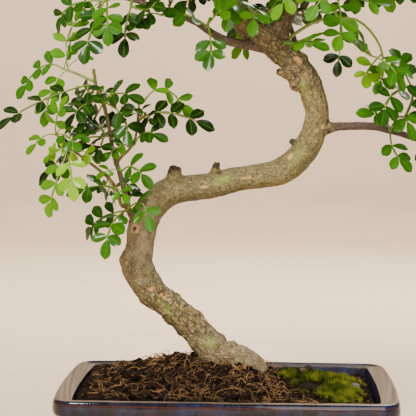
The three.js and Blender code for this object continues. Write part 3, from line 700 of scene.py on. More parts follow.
def fillSprays():
    draw = makeDraw(fullness["seed"])
    lowest = vec(cadBox[0]) / mm - 2
    highest = vec(cadBox[1]) / mm + 4

    def inBounds(samples):
        return not (samples < lowest).any() and not (samples > highest).any()

    def inCrown(samples):
        return inBounds(samples) and not (inPicture(samples)[:, 1] > fullness["lowestInPicture"]).any()

    def inOvals(samples):
        seen = inPicture(samples)
        shares = [((seen - oval[:2]) ** 2 / vec(oval[2:]) ** 2).sum(axis=1) for oval in fullness["lowOvals"]]
        return inBounds(samples) and not (np.min(shares, axis=0) > 1).any()

    for owner, spray in enumerate(sprays):
        crown = spray["crown"]
        wanted = fullness["crownLeaves"] if crown else fullness["lowLeaves"]
        spacing = fullness["spacing"] if crown else fullness["lowSpacing"]
        for _ in range(wanted):
            share = draw(*fullness["rootShare"])
            root = spray["stem"][-1] + (spray["stem"][-2] - spray["stem"][-1]) * share
            heading, rise = math.radians(draw(0, 360)), math.radians(draw(*fullness["rise"]))
            length = draw(*fullness["crownLength" if crown else "lowLength"])
            allowed = inCrown if crown else inOvals
            fitLeaf(spray, owner, root, heading, rise, length, fullness["droop"], spacing, allowed)
    print("crown filled:", sum(len(spray["leaves"]) for spray in sprays), "leaves")


fillSprays()


# Leaflets: an obovate blade with a notch at its tip, modelled three ways and then repeated
leafletPlan = {
    "across": 4,
    "along": 7,
    "thickness": 0.36,
    "shapes": {
        "broad": {"halfWidth": 4.1, "notch": 0.035, "cup": 0.9, "curl": 0.9},
        "plain": {"halfWidth": 3.7, "notch": 0.025, "cup": 0.55, "curl": 1.5},
        "slender": {"halfWidth": 3.0, "notch": 0.0, "cup": 1.2, "curl": 0.5},
    },
}


def modelBlade(name, across, along, length, widthAt, heightAt, tipAt, thickness):
    blade = startShape("grid", x_subdivisions=across, y_subdivisions=along, size=1)
    blade.name = name
    blade.data.uv_layers[0].name = "leafPlan"
    points = readPoints(blade)
    u, v = 2 * points[:, 0], 1 - (0.5 - points[:, 1]) ** 1.35
    points[:, 0] = u * widthAt(v)
    points[:, 1] = length * v + tipAt(u, v)
    points[:, 2] = heightAt(u, v)
    writePoints(blade, points * mm)
    finishWith(blade, "SOLIDIFY", thickness=thickness * mm, offset=0)
    return blade


def modelLeaflet(name, shape):
    def widthAt(v):
        place = 0.015 + 0.965 * v
        return shape["halfWidth"] * place**0.68 * (1 - place) ** 0.46 / 0.458

    def heightAt(u, v):
        belly = np.sin(np.pi * v)
        return shape["cup"] * u * u * belly - shape["curl"] * v**2 - 0.25 * (1 - np.abs(u)) * belly

    def tipAt(u, v):
        rounded = -0.11 * leafletLength * u * u * v**3
        return rounded - shape["notch"] * leafletLength * (1 - np.abs(u)) ** 2 * v**6

    return modelBlade(name, leafletPlan["across"], leafletPlan["along"], leafletLength, widthAt, heightAt,
                      tipAt, leafletPlan["thickness"])


# The wing is the narrow green margin along the rachis between two pairs, one millimetre long here
def modelWing():
    return modelBlade("wing", 2, 3, 1.0, lambda v: 0.5 + 0.75 * v - 0.5 * v**4, lambda u, v: 0.35 * u * u,
                      lambda u, v: 0 * u, 0.3)


def takeShape(piece):
    mesh = piece.data
    corners = np.zeros(len(mesh.loops), np.int32)
    sizes = np.zeros(len(mesh.polygons), np.int32)
    mesh.loops.foreach_get("vertex_index", corners)
    mesh.polygons.foreach_get("loop_total", sizes)
    plan = np.zeros(len(mesh.loops) * 2, np.float32)
    if mesh.uv_layers:
        mesh.uv_layers[0].uv.foreach_get("vector", plan)
    return {"points": readPoints(piece) / mm, "corners": corners, "sizes": sizes, "plan": plan}


# One mesh out of many copies of the master shapes, each with its own place and tone
def repeatShapes(name, placements):
    points, corners, sizes, plans, tones = [], [], [], [], []
    count = 0
    for shape, origin, axes, tone in placements:
        made = shape["points"] @ np.array(axes) + origin
        points.append(made)
        corners.append(shape["corners"] + count)
        sizes.append(shape["sizes"])
        plans.append(shape["plan"])
        tones.append(np.full(len(made), tone))
        count += len(made)
    points, corners, sizes = np.concatenate(points), np.concatenate(corners), np.concatenate(sizes)
    mesh = bpy.data.meshes.new(name)
    mesh.vertices.add(len(points))
    mesh.loops.add(len(corners))
    mesh.polygons.add(len(sizes))
    mesh.vertices.foreach_set("co", (points * mm).astype(np.float32).ravel())
    mesh.loops.foreach_set("vertex_index", corners)
    mesh.polygons.foreach_set("loop_start", np.concatenate([[0], np.cumsum(sizes)[:-1]]).astype(np.int32))
    mesh.update(calc_edges=True)
    layer = mesh.uv_layers.new(name="leafPlan")
    layer.uv.foreach_set("vector", np.concatenate(plans))
    mesh.validate()
    piece = linkPiece(name, mesh)
    mark(piece, "leafTone", np.concatenate(tones))
    return piece


# Round stalks of changing thickness: each is a list of [x, y, z, radius]
def makeStalks(name, stalks, roundness=1):
    curve = bpy.data.curves.new(name, "CURVE")
    curve.dimensions = "3D"
    curve.bevel_depth = mm
    curve.bevel_resolution = roundness
    curve.use_fill_caps = True
    for stalk in stalks:
        spline = curve.splines.new("POLY")
        spline.points.add(len(stalk) - 1)
        for point, place in zip(spline.points, stalk):
            point.co = (place[0] * mm, place[1] * mm, place[2] * mm, 1)
            point.radius = place[3]
    pick(linkPiece(name, curve))
    bpy.ops.object.convert(target="MESH")
    return bpy.context.object


# Leaf finishes: a green that follows the leaf's own tone, with a paler rib and faint side veins
def makeLeafVeins():
    tree, source, result = startGroup(
        "leafVeins",
        [("Plan", "Vector")],
        [("Rib", "Float"), ("Veins", "Float")],
    )
    split = addNode(tree, "SeparateXYZ", {"Vector": source["Plan"]}).outputs
    aside = calculate(tree, "ABSOLUTE", calculate(tree, "SUBTRACT", split["X"], 0.5))
    slant = calculate(tree, "SUBTRACT", split["Y"], times(tree, aside, 0.7))
    wave = calculate(tree, "SINE", times(tree, slant, 42.0))
    rib, veins = remap(tree, aside, 0.02, 0.07, 1.0, 0.0), remap(tree, wave, 0.55, 1.0)
    feed(tree, result, {"Rib": rib, "Veins": veins})
    return tree


leafVeins = makeLeafVeins()
leafFinishes = {
    "young": {"slot": "leaf_young", "rough": 0.42, "coat": 0.14, "tones": (0.54, 0.92), "size": 0.94},
    "green": {"slot": "leaf_green", "rough": 0.36, "coat": 0.2, "tones": (0.3, 0.6), "size": 1.02},
    "old": {"slot": "leaf_old", "rough": 0.28, "coat": 0.25, "tones": (0.0, 0.16), "size": 1.08},
}
leafGreens = [
    (0.0, (0.002, 0.009, 0.001, 1)), (0.2, (0.004, 0.022, 0.001, 1)), (0.35, (0.008, 0.045, 0.0008, 1)),
    (0.6, (0.026, 0.11, 0.0008, 1)), (0.8, (0.075, 0.21, 0.001, 1)), (1.0, (0.17, 0.34, 0.002, 1)),
]


def makeLeafFinish(name, plan):
    material, tree, shader = startMaterial(name, {
        "Coat Weight": plan["coat"], "Coat Roughness": 0.1, "Subsurface Weight": 0.04,
        "Subsurface Scale": 0.002, "Subsurface Radius": (0.4, 1.0, 0.1), "Specular IOR Level": 0.08,
    })
    veins = useGroup(tree, leafVeins, {"Plan": addNode(tree, "UVMap", uv_map="leafPlan").outputs[0]})
    cloud = blotches(tree, objectPlace(tree), 260.0, 3.0, 0.25, 0.75,
                     (0.86, 0.9, 0.8, 1), (1.1, 1.06, 1.0, 1))
    green = ramp(tree, readMark(tree, "leafTone")["Fac"], leafGreens)
    base = mixColours(tree, 1.0, green, cloud["Colour"], "MULTIPLY")
    paler = mixColours(tree, times(tree, veins["Veins"], 0.1), base, (0.10, 0.24, 0.004, 1))
    ribbed = mixColours(tree, times(tree, veins["Rib"], 0.2), paler, (0.14, 0.30, 0.006, 1))
    feed(tree, shader, {"Base Color": ribbed, "Roughness": times(tree, cloud["Mask"], 0.14, plan["rough"])})
    furrow = times(tree, veins["Rib"], -1.0, times(tree, veins["Veins"], -0.35))
    bump(tree, shader, furrow, 0.5, 0.0003)
    return material


def makeStalkFinish():
    material, tree, shader = startMaterial("greenStalk", {"Roughness": 0.45, "Coat Weight": 0.1})
    place = objectPlace(tree)
    green = blotches(tree, place, 45.0, 3.0, 0.35, 0.65, (0.07, 0.15, 0.008, 1), (0.15, 0.22, 0.014, 1))
    colour = cover(tree, green["Colour"], place, 22.0, 4.0, 0.52, 0.72, 0.6, (0.12, 0.045, 0.016, 1))
    feed(tree, shader, {"Base Color": colour})
    grain(tree, shader, place, 900.0, 2.0, 0.25, 0.0003)
    return material


foliage = {
    "seed": 911,
    "pairEvery": 11.5,
    "pairs": (1, 3),
    "lean": (52, 70),
    "tilt": 16,
    "lift": (-8, 22),
    "rachis": (0.72, 0.42),
    "shapes": ["broad", "plain", "plain", "slender"],
}


def turned(axis, angle, vector):
    return vector * math.cos(angle) + np.cross(axis, vector) * math.sin(angle)


def placeBlade(shape, root, along, normal, size, tone, draw, lift):
    along = unit(along)
    across = unit(np.cross(along, normal))
    raised = turned(across, math.radians(lift), along)
    tilt = math.radians(draw(-foliage["tilt"], foliage["tilt"]))
    across = turned(raised, tilt, across)
    over = np.cross(across, raised)
    return shape, root, [across * size[0], raised * size[1], over * size[2]], tone


def dressLeaf(leaf, tones, grown, draw, blades, stalks):
    chord = np.linalg.norm(leaf[2] - leaf[0])
    fewest, most = foliage["pairs"]
    pairs = min(max(round(chord / foliage["pairEvery"]), fewest), most)
    size = grown * min(max(0.5 + chord / 42, 0.62), 1.04) * draw(0.95, 1.05)
    leafTone = draw(*tones)
    stops = [0.0]
    for pair in range(pairs):
        s = (pair + 1) / (pairs + 0.3)
        stops.append(s)
        point, along, side, normal = rachisFrame(leaf, s)
        reach = size * (0.88 + 0.12 * math.sin(math.pi * (pair + 1) / (pairs + 0.6)))
        for sign in (-1, 1):
            lean = math.radians(draw(*foliage["lean"]))
            out = along * math.cos(lean) + side * sign * math.sin(lean)
            share = reach * draw(0.9, 1.08)
            shape = masters[foliage["shapes"][int(draw(0, 3.99))]]
            tone = min(max(leafTone + draw(-0.07, 0.07), 0), 1)
            blades.append(placeBlade(shape, point + side * sign * 0.5, out, normal,
                                     [share, share, share], tone, draw, draw(*foliage["lift"])))
    stops.append(1.0)
    point, along, side, normal = rachisFrame(leaf, 1)
    shape = masters[foliage["shapes"][int(draw(0, 2.99))]]
    blades.append(placeBlade(shape, point, along, normal, [size, size * 1.04, size],
                             min(max(leafTone + draw(-0.05, 0.05), 0), 1), draw, draw(-6, 8)))
    for first, second in zip(stops[1:], stops[2:]):
        here, there = rachisFrame(leaf, first + 0.04), rachisFrame(leaf, second - 0.03)
        run = there[0] - here[0]
        reach = np.linalg.norm(run)
        blades.append(placeBlade(masters["wing"], here[0], run, here[3], [size, reach, size], leafTone,
                                 draw, 0))
    thick, thin = foliage["rachis"]
    rachis = []
    for i in range(7):
        place = rachisFrame(leaf, i / 6)[0]
        rachis.append([*place, (thick + (thin - thick) * i / 6) * size])
    stalks.append(rachis)


masters = {}
for name, shape in leafletPlan["shapes"].items():
    masters[name] = modelLeaflet(name, shape)
masters["wing"] = modelWing()
for name, piece in list(masters.items()):
    masters[name] = takeShape(piece)
    bpy.data.objects.remove(piece)

leafMaterials = {name: makeLeafFinish("leaf" + name.title(), plan) for name, plan in leafFinishes.items()}
stalkMaterial = makeStalkFinish()


def makeSpray(index, spray, draw):
    name = "leafy_spray_%02d" % (index + 1)
    blades, stalks = [], []
    low, high = leafFinishes[spray["tint"]]["tones"]
    for i, leaf in enumerate(spray["leaves"]):
        wide = 0.22 if spray["crown"] or i >= spray["base"] else 0.06
        tones = (max(low - wide, 0), min(high + wide, 1))
        grown = leafFinishes[spray["tint"]]["size"]
        if not spray["crown"] and i >= spray["base"]:
            grown *= fullness["lowSize"]
        dressLeaf(leaf, tones, grown, draw, blades, stalks)
    stem = smoothPath(spray["stem"], 6)
    last = len(stem) - 1
    stalks.append([[*point, stemRadius * (1.3 - 0.42 * i / last)] for i, point in enumerate(stem)])
    leafPiece = repeatShapes(name + "_blades", blades)
    leafPiece.data.materials.append(leafMaterials[spray["tint"]])
    stalkPiece = makeStalks(name + "_stalks", stalks)
    stalkPiece.data.materials.append(stalkMaterial)
    piece = joinPieces([leafPiece, stalkPiece], "fine_" + name)
    smoothShade(piece, 50)
    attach(piece, "root")
    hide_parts(name)
    return len(piece.data.polygons)


sprayDraw = makeDraw(foliage["seed"])
faceCount = sum(makeSpray(index, spray, sprayDraw) for index, spray in enumerate(sprays))
print("foliage:", faceCount, "faces")


# Wood: every limb as a round tube, fused into one skin, then given its bark relief
woodPlan = {
    "skin": 0.95,
    "relax": 4,
    "lump": 0.06,
    "fissure": 0.95,
    "grain": 0.2,
    "scars": [
        # middle, half length along the limb, half width, kind
        [(-69.1, -12, 182.5), 2.6, 2.6, "cut"],
        [(12.1, -7, 219.0), 3.6, 0.75, "peel"],
        [(40.0, -8, 237.9), 2.4, 1.3, "peel"],
        [(-18.9, -6, 212.2), 3.6, 0.8, "peel"],
        [(-70.8, -8, 157.4), 1.2, 0.9, "peel"],
        [(-56.2, -8, 138.6), 1.5, 2.2, "peel"],
        [(-47.0, -8, 133.0), 3.0, 0.7, "peel"],
        [(48.8, -9, 303.0), 6.0, 1.5, "peel"],
        [(48.1, -9, 292.4), 1.9, 1.6, "dark"],
        [(45.0, -9, 284.0), 1.2, 1.0, "dark"],
        [(-39.6, -2.5, 228.0), 3.4, 4.4, "dark"],
        [(-45.5, -2.5, 223.5), 2.2, 2.8, "dark"],
        [(-9.6, 0.5, 229.5), 3.8, 4.0, "dark"],
        [(-7.5, -2, 223.0), 1.3, 1.3, "dark"],
        [(43.8, -0.8, 246.2), 3.2, 3.4, "dark"],
        [(34, -12, 296), 1.2, 2.6, "dark"],
        [(71.0, -4, 259.5), 1.7, 1.3, "dark"],
        [(71.5, -4, 252.5), 1.7, 1.2, "dark"],
        [(67.5, -6, 256.0), 1.5, 1.8, "peel"],
        [(-5.2, -9, 219.5), 6.0, 3.6, "green"],
        [(47.5, -9, 236.0), 8.0, 3.4, "green"],
        [(-12.0, -10, 99.3), 7.0, 4.5, "green"],
        [(-47.0, -10, 124.0), 7.0, 3.0, "green"],
        [(53.0, -9, 284.0), 7.0, 3.4, "green"],
    ],
    "bumps": [
        # middle, reach, height
        [(-80.5, -2, 159.5), 5.5, 1.7],
        [(-59.5, -2, 128.0), 5.0, 1.0],
        [(-22.5, 2, 118.5), 6.0, 1.8],
        [(-37.0, 2, 138.0), 5.0, 0.9],
        [(3.0, 4, 97.0), 4.0, 1.7],
        [(11.0, 2, 93.5), 4.0, 1.4],
        [(19.0, 2, 87.0), 4.0, 1.0],
        [(-13.0, -9, 86.0), 6.0, 1.2],
        [(52.0, -8, 262.0), 6.0, 0.8],
        [(-67.0, -2, 205.0), 5.0, 1.0],
        [(70.5, -2, 259.0), 2.4, 1.5],
        [(71.0, -3, 252.5), 2.2, 1.2],
    ],
}


# How rough, how green and how dark the bark is along each limb, and its paleness: paler bark near the foot of
# the trunk, and painted light on the trunk from z 134 to 203 that lightens the bark where the leaves above
# shade it
def barkKind(name, point):
    x, _, z, _ = point
    young = {"lowShoot": 0.45, "lowShootRight": 0.75, "lowShootLeft": 0.8}.get(name, 0.0)
    if name == "lowShoot":
        young = float(np.interp(z, [190, 215, 260, 297], [0.0, 0.1, 0.55, 0.8]))
    dark = {"rightBranch": 1.0, "leftBranch": 0.75, "rightLimb": 0.35, "lowShoot": 0.5, "lowShootRight": 0.5,
            "northBranch": 0.8, "lowShootLeft": 0.2}.get(name, 0.25 if name.startswith("crown") else 0.0)
    if name == "rightBranch" and x < 78:
        dark = float(np.interp(x, [68, 77], [0, 1]))
    rough = {"leftBranch": 0.75, "rightBranch": 0.5, "rightLimb": 0.7, "leftLimb": 0.4, "cutStub": 0.7,
             "swelling": 0.9, "lowShoot": 0.15, "lowShootRight": 0.1, "lowShootLeft": 0.1}.get(name, 0.35)
    if name in ("trunk", "rootEast", "rootNorth"):
        rough = float(np.interp(z, [70, 100, 145, 165, 200, 262, 290, 310],
                                [0.75, 0.95, 0.85, 0.4, 0.25, 0.16, 0.85, 1.0]))
        dark = float(np.interp(z, [276, 292, 311], [0.0, 0.22, 0.35]))
        # the horizontal stretch of the trunk, above z 196 between x -58 and 34, is mixed a little towards the
        # dark bark
        if -58 < x < 34 and z > 196:
            dark = 0.13
    if name == "rightBranch" and x < 80:
        rough = 1.0
    if name == "leftLimb":
        rough = float(np.interp(z, [312, 335, 360], [0.95, 0.35, 0.3]))
    # paleness: paler bark near the foot; from z 134 to 203 painted light, lightening the bark that the leaves
    # shade
    paleBarkAndPaintedLight = float(np.interp(z, [66, 84, 98, 112, 134, 152, 192, 203], [0.4, 0.45, 0.2, 0, 0, 0.5, 0.5, 0]))
    if name != "trunk" and z > 112:
        paleBarkAndPaintedLight = 0.0
    return rough, young, dark, paleBarkAndPaintedLight


def traceLimbs():
    traces = []
    for name, points in woodLimbs.items():
        path = smoothPath(points, 2)
        side = None
        run = 0.0
        for i, point in enumerate(path):
            before, after = path[max(i - 1, 0)], path[min(i + 1, len(path) - 1)]
            along = unit((after - before)[:3])
            if side is None:
                side = vec([1, 0, 0]) if abs(along[2]) > 0.9 else vec([0, 0, 1])
            side = unit(side - along * np.dot(side, along))
            if i:
                run += np.linalg.norm((point - before)[:3])
            traces.append([point, along, side, np.cross(along, side), run, barkKind(name, point)])
    return traces


def modelWood():
    tubes = []
    for name, points in woodLimbs.items():
        path = smoothPath(points, 3)
        tubes.append(makeStalks(name, [[list(point) for point in path]], 4))
    wood = joinPieces(tubes, "barkedWood")
    finishWith(wood, "REMESH", mode="VOXEL", voxel_size=woodPlan["skin"] * mm, adaptivity=0)
    finishWith(wood, "SMOOTH", factor=0.5, iterations=woodPlan["relax"])
    return wood


def carveBark(wood):
    traces = traceLimbs()
    tree = kdtree.KDTree(len(traces))
    for i, trace in enumerate(traces):
        tree.insert(trace[0][:3], i)
    tree.balance()
    points = readPoints(wood) / mm
    normals = readPoints(wood, "normal")
    count = len(points)
    runs, kinds = np.zeros((count, 3)), np.zeros((count, 4))
    marksAndLight, moves = np.zeros((count, 4)), np.zeros(count)
    marksAndLight[:, 3] = 1
    for i in range(count):
        place = Vector(points[i])
        total, kind, best, bestShare = 0.0, np.zeros(4), None, 1e9
        for _, index, distance in tree.find_n(place, 10):
            trace = traces[index]
            share = distance / trace[0][3]
            weight = math.exp(-3 * (share - 1) ** 2 - 0.4 * share)
            total += weight
            kind += weight * vec(trace[5])
            if share < bestShare:
                best, bestShare = trace, share
        kind /= total
        middle, along, side, over, distance, _ = best
        off = points[i] - middle[:3]
        run = (distance + np.dot(off, along), np.dot(off, side), np.dot(off, over))
        runs[i] = run
        kinds[i, :3] = kind[:3]
        # the third channel carries the paleness, painted light on the trunk from z 134 to 203
        marksAndLight[i, 2] = kind[3]
        radius = middle[3]
        rough = kind[0]
        depth = min(radius / 9, 1)
        lump = noise.noise(place * 0.055) * woodPlan["lump"] * radius
        lump += noise.noise(place * 0.16) * 0.03 * radius
        lump += 3.2 * rough * max(noise.noise(place * 0.12 + Vector((9, 0, 0))) - 0.18, 0) * depth
        split = noise.noise((run[0] * 0.13, run[1] * 0.6, run[2] * 0.6))
        crack = 1 - min(abs(split) * 3.2, 1)
        plates = noise.noise((run[0] * 0.33, run[1] * 0.9 + 7, run[2] * 0.9))
        fine = noise.noise((run[0] * 0.8, run[1] * 1.7, run[2] * 1.7))
        moves[i] = lump + depth * (rough * woodPlan["fissure"] * (0.45 * plates - 0.55 * crack)
                                   + (0.35 + 0.65 * rough) * woodPlan["grain"] * fine * 2)
    for middle, reach, height in woodPlan["bumps"]:
        away = ((points - vec(middle)) ** 2).sum(axis=1) / reach**2
        moves += height * np.exp(-1.6 * away)
    for middle, long, wide, form in woodPlan["scars"]:
        nearest = np.argmin(((points - vec(middle)) ** 2).sum(axis=1))
        middleRun = runs[nearest]
        away = points - points[nearest]
        alongRun = runs[:, 0] - middleRun[0]
        nearby = np.linalg.norm(away, axis=1) < 2.2 * max(long, wide)
        across = np.sqrt(np.maximum((away**2).sum(axis=1) - alongRun**2, 0))
        ragged = np.array([noise.noise(point * 0.7) for point in points[nearby]])
        share = np.full(count, 9.0)
        share[nearby] = np.sqrt((alongRun[nearby] / long) ** 2 + (across[nearby] / wide) ** 2) + 0.35 * ragged
        inside = np.clip((1.25 - share) / 0.4, 0, 1)
        if form == "cut":
            ring = np.exp(-(((share - 1.0) / 0.35) ** 2))
            moves += 0.9 * ring - 0.7 * np.clip((0.8 - share) / 0.3, 0, 1)
            marksAndLight[:, 0] = np.maximum(marksAndLight[:, 0], 0.8 * ring)
            marksAndLight[:, 1] = np.maximum(marksAndLight[:, 1], np.clip((0.75 - share) / 0.3, 0, 1))
        elif form == "green":
            kinds[:, 3] = np.maximum(kinds[:, 3], np.clip(1.5 - share, 0, 1))
        elif form == "peel":
            moves -= 0.28 * inside
            marksAndLight[:, 0] = np.maximum(marksAndLight[:, 0], inside)
        else:
            marksAndLight[:, 1] = np.maximum(marksAndLight[:, 1], 0.9 * inside)
            moves[nearby] += inside[nearby] * (1.4 * ragged - 0.2)
    writePoints(wood, (points + normals * moves[:, None]) * mm)
    mark(wood, "barkRun", runs, "FLOAT_VECTOR")
    mark(wood, "barkKind", kinds, "FLOAT_COLOR")
    mark(wood, "barkMarksAndLight", marksAndLight, "FLOAT_COLOR")


def makeBark():
    material, tree, shader = startMaterial("bark", {"Specular IOR Level": 0.3})
    place = objectPlace(tree)
    run = readMark(tree, "barkRun")["Vector"]
    kindMark = readMark(tree, "barkKind")
    kind = addNode(tree, "SeparateColor", {"Color": kindMark["Color"]}).outputs
    marksAndLight = addNode(tree, "SeparateColor", {"Color": readMark(tree, "barkMarksAndLight")["Color"]}).outputs
    fibres, plates = (useGroup(tree, fissures, {
        "Vector": run, "Stretch": (stretch, 1.0, 1.0), "Scale": scale, "Wander": wander,
    }) for stretch, scale, wander in ((0.16, 0.55, 1.6), (0.35, 0.34, 2.4)))

    def bark(source, scale, detail, low, high, first, second):
        return blotches(tree, source, scale, detail, low, high, first, second)["Colour"]

    smooth = bark(place, 44.0, 6.0, 0.36, 0.62, (0.25, 0.19, 0.066, 1), (0.115, 0.11, 0.03, 1))
    smooth = cover(tree, smooth, place, 90.0, 4.0, 0.5, 0.64, 0.5, (0.31, 0.275, 0.125, 1))
    smooth = cover(tree, smooth, run, 60.0, 6.0, 0.55, 0.68, 0.6, (0.14, 0.085, 0.028, 1))
    smooth = cover(tree, smooth, place, 24.0, 5.0, 0.46, 0.62, 0.55, (0.075, 0.062, 0.022, 1))
    smooth = cover(tree, smooth, place, 520.0, 4.0, 0.5, 0.6, 0.85, (0.03, 0.025, 0.01, 1))
    smooth = cover(tree, smooth, place, 640.0, 4.0, 0.57, 0.65, 0.6, (0.50, 0.41, 0.19, 1))
    speck = calculate(tree, "SUBTRACT", 1.0, fibres["Mask"])
    smooth = mixColours(tree, times(tree, speck, 0.5), smooth, (0.07, 0.055, 0.025, 1))
    rough = bark(run, 0.32, 6.0, 0.38, 0.62, (0.105, 0.07, 0.03, 1), (0.335, 0.24, 0.095, 1))
    rough = cover(tree, rough, place, 46.0, 4.0, 0.44, 0.58, 0.65, (0.19, 0.18, 0.05, 1))
    rough = cover(tree, rough, place, 250.0, 4.0, 0.58, 0.68, 0.75, (0.38, 0.15, 0.04, 1))
    crack = calculate(tree, "SUBTRACT", 1.0, plates["Mask"])
    rough = mixColours(tree, times(tree, crack, 0.85), rough, (0.03, 0.02, 0.009, 1))
    rough = cover(tree, rough, run, 0.75, 5.0, 0.5, 0.6, 0.85, (0.028, 0.02, 0.01, 1))
    rough = cover(tree, rough, place, 480.0, 4.0, 0.57, 0.66, 0.7, (0.58, 0.47, 0.27, 1))
    colour = mixColours(tree, kind["Red"], smooth, rough)
    dark = bark(run, 0.9, 5.0, 0.35, 0.7, (0.022, 0.014, 0.013, 1), (0.13, 0.085, 0.062, 1))
    colour = mixColours(tree, kind["Blue"], colour, dark)
    young = bark(run, 0.22, 4.0, 0.4, 0.62, (0.13, 0.19, 0.012, 1), (0.13, 0.055, 0.018, 1))
    colour = mixColours(tree, kind["Green"], colour, young)
    algae = times(tree, kindMark["Alpha"], blotches(tree, place, 240.0, 5.0, 0.3, 0.6)["Mask"])
    colour = mixColours(tree, times(tree, algae, 0.75), colour, (0.20, 0.24, 0.045, 1))
    # paler bark colour; on the trunk from z 134 to 203 it is painted light where the leaves shade the bark
    paleBarkAndPaintedLight = bark(place, 150.0, 6.0, 0.4, 0.6, (0.11, 0.075, 0.045, 1), (0.36, 0.28, 0.18, 1))
    colour = mixColours(tree, times(tree, marksAndLight["Blue"], 0.85), colour, paleBarkAndPaintedLight)
    bare = cover(tree, marksAndLight["Red"], place, 330.0, 4.0, 0.5, 0.62, 0.55, (0, 0, 0, 1))
    colour = mixColours(tree, bare, colour, (0.56, 0.31, 0.10, 1))
    colour = mixColours(tree, marksAndLight["Green"], colour, (0.03, 0.017, 0.01, 1))
    feed(tree, shader, {"Base Color": colour, "Roughness": times(tree, kind["Red"], 0.18, 0.62)})
    relief = times(tree, plates["Height"], kind["Red"], times(tree, fibres["Height"], 0.5))
    relief = times(tree, cloudy(tree, place, 900.0, 4.0), 0.4, relief)
    bump(tree, shader, relief, 0.9, 0.001)
    return material


wood = modelWood()
carveBark(wood)
smoothShade(wood)
dress(wood, makeBark(), "bark")
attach(wood, "root")
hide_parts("wood")
print("wood:", len(wood.data.polygons), "faces")


# The pot: one plate is bevelled to the rim's outline, then inset and extruded ring by ring
potPlan = {
    "length": 240.0,
    "depth": 170.0,
    "corner": 17.0,
    "bow": 2.0,
    "widest": 63.6,
    "cornerSteps": 6,
    "sideCuts": 9,
    # inset from the outer edge and height of each ring, over the rim and down the inner wall
    "rim": [(0.12, 66.2), (0.4, 68.0), (0.9, 69.0), (1.6, 69.55), (2.5, 69.7), (3.3, 69.5), (4.0, 69.05),
            (4.8, 68.8), (6.2, 68.7), (7.8, 68.65), (9.5, 68.6), (11.2, 68.6), (12.6, 68.55), (13.4, 68.3),
            (13.8, 67.7)],
    "inner": [(14.1, 66.6), (14.6, 63.6), (15.5, 58.0), (17.0, 45.0), (18.5, 31.0), (19.8, 18.0),
              (20.4, 15.6), (21.6, 14.2), (24.0, 14.0)],
    "lip": [(0.1, 61.2), (0.35, 59.4), (0.9, 58.5), (2.0, 57.95), (4.4, 57.4), (6.3, 56.8)],
    "outer": [(7.1, 55.9), (7.7, 54.2), (9.0, 51.1), (10.2, 42.0), (11.9, 32.0), (13.7, 22.0), (15.1, 14.5),
              (15.9, 11.0), (16.8, 9.0), (18.6, 8.0)],
    "drains": (-55.0, 55.0),
    "drainRadius": 7.0,
    "footHeight": 8.0,
    "footSunk": 1.4,
    "waver": 0.22,
}


def insetRings(rings, start, up):
    inset, height = start
    for nextInset, nextHeight in rings:
        bpy.ops.mesh.inset(thickness=(nextInset - inset) * mm, depth=up * (nextHeight - height) * mm,
                           use_even_offset=True)
        inset, height = nextInset, nextHeight
    return inset, height


def scaleRings(rings, start):
    inset, height = start
    halfX, halfY = potPlan["length"] / 2, potPlan["depth"] / 2
    for nextInset, nextHeight in rings:
        extrude(0, 0, (nextHeight - height) * mm)
        narrow((halfX - nextInset) / (halfX - inset), (halfY - nextInset) / (halfY - inset))
        inset, height = nextInset, nextHeight


def modelPotBody():
    halfX, halfY = potPlan["length"] / 2, potPlan["depth"] / 2
    pot = startShape("plane", size=1)
    bpy.ops.object.mode_set(mode="EDIT")
    bpy.ops.transform.resize(value=(2 * halfX * mm, 2 * halfY * mm, 1))
    bpy.ops.transform.translate(value=(0, 0, (potPlan["widest"] - 1) * mm))
    bpy.ops.mesh.bevel(offset=potPlan["corner"] * mm, segments=potPlan["cornerSteps"], affect="VERTICES",
                       clamp_overlap=False)
    chooseEdges(pot, lambda a, b: (a - b).length > 60 * mm)
    bpy.ops.mesh.subdivide(number_cuts=potPlan["sideCuts"])
    bpy.ops.object.mode_set(mode="OBJECT")
    points = readPoints(pot) / mm
    reachX, reachY = halfX - potPlan["corner"], halfY - potPlan["corner"]
    alongX = (np.abs(points[:, 0]) < reachX) & (np.abs(points[:, 1]) > reachY)
    alongY = (np.abs(points[:, 1]) < reachY) & (np.abs(points[:, 0]) > reachX)
    bowX, bowY = 1 - (points[:, 0] / reachX) ** 2, 1 - (points[:, 1] / reachY) ** 2
    points[alongX, 1] += (np.sign(points[:, 1]) * potPlan["bow"] * bowX)[alongX]
    points[alongY, 0] += (np.sign(points[:, 0]) * potPlan["bow"] * bowY)[alongY]
    writePoints(pot, points * mm)
    chooseFaces(pot, lambda face: True)
    extrude(0, 0, 1 * mm)
    faceOutward()
    middle = (potPlan["widest"] - 0.5) * mm
    chooseFaces(pot, lambda face: face.normal.z > 0.9 and face.center.z > middle)
    place = insetRings(potPlan["rim"], (0.0, potPlan["widest"]), 1)
    scaleRings(potPlan["inner"], place)
    chooseFaces(pot, lambda face: face.normal.z < -0.9 and face.center.z < middle)
    place = insetRings(potPlan["lip"], (0.0, potPlan["widest"] - 1), -1)
    scaleRings(potPlan["outer"], place)
    bpy.ops.object.mode_set(mode="OBJECT")
    finishWith(pot, "SUBSURF", levels=1, render_levels=1)
    return pot


# A bracket foot: three of the four faces of a small grid, pushed down and its edges softened
def modelFoot():
    foot = startShape("grid", x_subdivisions=2, y_subdivisions=2, size=1)
    height = potPlan["footHeight"] + potPlan["footSunk"]
    points = readPoints(foot)
    points[:, 0] = np.interp(points[:, 0], [-0.5, 0, 0.5], [0, 12, 35])
    points[:, 1] = np.interp(points[:, 1], [-0.5, 0, 0.5], [0, 12, 31])
    points[:, 2] = height
    writePoints(foot, (points + vec([-100, -65, 0])) * mm)
    chooseFaces(foot, lambda face: face.center.x > -80 * mm and face.center.y > -45 * mm)
    bpy.ops.mesh.delete(type="FACE")
    chooseFaces(foot, lambda face: True)
    extrude(0, 0, -height * mm)
    faceOutward()
    bpy.ops.object.mode_set(mode="OBJECT")
    finishWith(foot, "BEVEL", width=1.6 * mm, segments=3, limit_method="ANGLE")
    return foot


